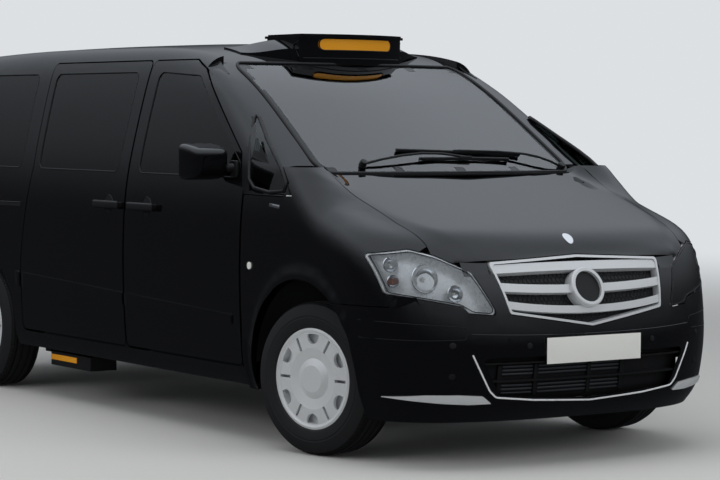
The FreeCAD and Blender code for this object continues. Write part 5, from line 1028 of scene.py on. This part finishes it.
class CAB_OT_front_trim(bpy.types.Operator):
    """Plate, sensors, washer covers, corner trims and bare badge places"""
    bl_idname = "cab.front_trim"
    bl_label = "Front trim"

    def execute(self, context):
        nose = on_skin("bumpers", "front", 0, 500)[0].x
        done(block((nose + 0.2 * MM, -0.26, 0.44), (nose + 1.8 * MM, 0.26, 0.551), 0.6 * MM, 2), "front_plate",
             "plate", "cab_body")
        done(block((nose - 24 * MM, -0.256, 0.444), (nose + 0.2 * MM, 0.256, 0.547), 2 * MM, 2), "front_plate_holder",
             "grain", "cab_body")
        badge = laid(ring_of(672, 0, 24, 24), "top", "bonnet", 3 * MM, pitch=12 * MM, bevel=1 * MM)
        done(badge, "bonnet_badge", "chrome", "bonnet_lid")
        # Painted fillers where three curved panels meet.
        fillers = (("lamp_underside", [[(572, -0.878, 0.676), (670, -0.783, 0.688)],
                                       [(590, -0.863, 0.733), (657, -0.794, 0.726)]]),
                   ("crown_corner", [[(716, -0.592, 0.812), (742, -0.478, 0.812)],
                                     [(686, -0.594, 0.869), (704, -0.468, 0.868)]]),
                   ("pillar_corner", [[(-1003, -0.790, 1.673), (-941, -0.730, 1.675)],
                                      [(-1058, -0.779, 1.705), (-1040, -0.712, 1.722)],
                                      [(-1104, -0.770, 1.725), (-1096, -0.700, 1.764)]]))
        for name, rows in fillers:
            both_sides(lambda: panel(rows, 4 * MM), name, "lacquer", BODY, 60)
        both_sides(lambda: block((ahead(700), -0.6, 0.285), (ahead(714), -0.46, 0.49), 3 * MM, 2), "intake_end",
                   "grain", BODY)
        both_sides(lambda: block((ahead(-2470), -0.876, 0.204), (ahead(-2190), -0.868, 0.233), 2 * MM, 2),
                   "step_reflector", "amber", BODY)
        for index, (y, z) in enumerate(((-677, 528), (-340, 520), (-675, 398))):
            both_sides(lambda: laid(ring_of(y, z, 13, 16), "front", "bumpers", 2 * MM, pitch=9 * MM, bevel=0.8 * MM),
                       "sensor_%d" % index, "grain", BODY)
        both_sides(lambda: laid([(-880, 308), (-800, 296), (-700, 286), (-600, 280), (-503, 282), (-545, 314),
                                 (-640, 320), (-760, 320)], "front", "bumpers", 7 * MM, rounding=5 * MM, pitch=20 * MM,
                                bevel=2 * MM), "corner_trim", "silver", BODY)
        sweep = ((-598, 488), (-574, 440), (-516, 334), (-486, 306), (-300, 288), (0, 272))
        done(traced(list(sweep) + [(-y, z) for y, z in reversed(sweep[:-1])], "front", "bumpers", 4 * MM),
             "intake_trim", "satin", "cab_body")
        washer = [(-934, 626), (-800, 616), (-625, 604), (-612, 592), (-625, 552), (-780, 548), (-932, 552)]
        both_sides(lambda: traced(washer, "front", "bumpers", 1.6 * MM), "washer_seam", "seal", BODY)
        ridge = [(y, 560 + 14 * (abs(y) / 600) ** 2) for y in range(-600, 601, 24)]
        done(traced(ridge, "front", "bumpers", 2.2 * MM), "bumper_ridge", "gloss", "cab_body")
        return {"FINISHED"}


# Stage

CAMERA_AT = (10.336, -6.625, 1.468)
CAMERA_YAW = math.radians(145.4)
CAMERA_PITCH = math.radians(-2.9)
CAMERA_ROLL = math.radians(0.43)
CAMERA_LENS_MM = 119.8


def area_lamp(name, place, aim, width, height, power):
    bpy.ops.object.light_add(type="AREA", location=place)
    lamp = bpy.context.object
    lamp.name = name
    lamp.data.shape = "RECTANGLE"
    lamp.data.size = width
    lamp.data.size_y = height
    lamp.data.energy = power
    lamp.visible_glossy = False
    lamp.rotation_euler = (Vector(aim) - Vector(place)).to_track_quat("-Z", "Y").to_euler()
    return lamp


class CAB_OT_stage(bpy.types.Operator):
    """Lay the floor, hang the lamps and set up the camera"""
    bl_idname = "cab.stage"
    bl_label = "Studio stage"

    def execute(self, context):
        colours = context.scene.cab_colours
        deselect()
        bpy.ops.mesh.primitive_plane_add(size=120, location=(0, 0, 0))
        floor = bpy.context.object
        floor.name = "studio_floor"
        material, surface = shader("pale_studio_floor", colours.floor, Roughness=0.75, IOR=1.3)
        speckle(material, surface, 300, 0.7, 0.8)
        where = add_node(material, "ShaderNodeTexCoord")
        reach = add_node(material, "ShaderNodeVectorMath", {0: (where, "Object")}, operation="LENGTH")
        fade = add_node(material, "ShaderNodeMapRange", {"Value": (reach, "Value")}, interpolation_type="SMOOTHSTEP",
                        From_Min=5.0, From_Max=16.0)
        sight = add_node(material, "ShaderNodeLightPath")
        amount = add_node(material, "ShaderNodeMath", {0: (fade, "Result"), 1: (sight, "Is Camera Ray")},
                          operation="MULTIPLY")
        glow = add_node(material, "ShaderNodeEmission", Color=linear(colours.backdrop), Strength=1.0)
        both = add_node(material, "ShaderNodeMixShader", {0: (amount, "Value"), 1: (surface, "BSDF"),
                                                          2: (glow, "Emission")})
        # For gloss rays the floor shows a flat dark emission of the horizon colour in place of its lit colour: a
        # painted reflection that darkens the floor as paint and metal show it.
        painted_floor_reflection = add_node(material, "ShaderNodeEmission", Color=linear(colours.horizon_and_painted_floor_reflection), Strength=1.0)
        floor_with_painted_reflection = add_node(material, "ShaderNodeMixShader", {0: (sight, "Is Glossy Ray"), 1: (both, "Shader"),
                                                          2: (painted_floor_reflection, "Emission")})
        link(material, floor_with_painted_reflection, "Shader", material.node_tree.nodes["Material Output"], "Surface")
        floor.data.materials.append(material)
        world = bpy.data.worlds.new("studio_world")
        context.scene.world = world
        world.use_nodes = True
        pale = linear(colours.backdrop)
        fill = world.node_tree.nodes["Background"]
        fill.inputs["Color"].default_value = pale
        fill.inputs["Strength"].default_value = 0.55
        back = add_node(world, "ShaderNodeBackground", Color=pale, Strength=1.0)
        path = add_node(world, "ShaderNodeLightPath")
        seen = add_node(world, "ShaderNodeMath", {0: (path, "Is Camera Ray"), 1: (path, "Is Transmission Ray")},
                        operation="MAXIMUM")
        mix = add_node(world, "ShaderNodeMixShader", {0: (seen, "Value"), 1: (fill, "Background"),
                                                      2: (back, "Background")})
        around = add_node(world, "ShaderNodeTexCoord")
        parts = add_node(world, "ShaderNodeSeparateXYZ", {"Vector": (around, "Generated")})
        height = add_node(world, "ShaderNodeMapRange", {"Value": (parts, "Z")}, interpolation_type="SMOOTHSTEP",
                          From_Max=0.75)
        wall = add_node(world, "ShaderNodeMix", {"Factor": (height, "Result")}, data_type="RGBA",
                        A=linear(colours.horizon_and_painted_floor_reflection), B=linear(colours.sky))
        gloss = add_node(world, "ShaderNodeBackground", {"Color": (wall, "Result")})
        gloss_mix = add_node(world, "ShaderNodeMixShader", {0: (path, "Is Glossy Ray"), 1: (mix, "Shader"),
                                                            2: (gloss, "Background")})
        link(world, gloss_mix, "Shader", world.node_tree.nodes["World Output"], "Surface")
        area_lamp("softbox_over", (1.5, -1.0, 6.0), (0.5, 0, 0.8), 7.0, 4.0, 110)
        area_lamp("softbox_front", (8.0, 2.5, 3.4), (1.0, 0, 0.8), 3.0, 2.4, 60)
        area_lamp("softbox_side", (0.5, -7.0, 3.2), (0.0, 0, 0.8), 6.0, 2.0, 70)
        bpy.ops.object.camera_add(location=CAMERA_AT)
        camera = bpy.context.object
        camera.name = "photo_camera"
        aim = Vector((math.cos(CAMERA_YAW) * math.cos(CAMERA_PITCH), math.sin(CAMERA_YAW) * math.cos(CAMERA_PITCH),
                      math.sin(CAMERA_PITCH)))
        turn = aim.to_track_quat("-Z", "Y").to_matrix() @ Matrix.Rotation(CAMERA_ROLL, 3, "Z")
        camera.rotation_euler = turn.to_euler()
        camera.data.lens = CAMERA_LENS_MM
        camera.data.sensor_width = 36
        context.scene.camera = camera
        context.scene.view_settings.view_transform = "Standard"
        return {"FINISHED"}


class CAB_PT_panel(bpy.types.Panel):
    """Buttons for each group of pieces"""
    bl_idname = "CAB_PT_panel"
    bl_label = "Cab dressing"
    bl_space_type = "VIEW_3D"
    bl_region_type = "UI"
    bl_category = "Cab"

    def draw(self, context):
        for group in (context.scene.cab_colours, context.scene.cab_sizes):
            for key in group.bl_rna.properties.keys():
                if key not in ("rna_type", "name"):
                    self.layout.prop(group, key)
        for operator in STEPS:
            self.layout.operator(operator.bl_idname)


STEPS = (CAB_OT_finishes, CAB_OT_tyres, CAB_OT_wheels, CAB_OT_mirrors, CAB_OT_cabin, CAB_OT_side_trim,
         CAB_OT_roof_sign, CAB_OT_seals, CAB_OT_wipers, CAB_OT_headlamps, CAB_OT_grille, CAB_OT_front_trim,
         CAB_OT_stage)
CLASSES = (CabColours, CabSizes) + STEPS + (CAB_PT_panel,)


def register():
    for item in CLASSES:
        bpy.utils.register_class(item)
    bpy.types.Scene.cab_colours = bpy.props.PointerProperty(type=CabColours)
    bpy.types.Scene.cab_sizes = bpy.props.PointerProperty(type=CabSizes)


def unregister():
    del bpy.types.Scene.cab_sizes
    del bpy.types.Scene.cab_colours
    for item in reversed(CLASSES):
        bpy.utils.unregister_class(item)


def main():
    register()
    for step in STEPS:
        group, name = step.bl_idname.split(".")
        getattr(getattr(bpy.ops, group), name)()


if __name__ == "__main__":
    main()
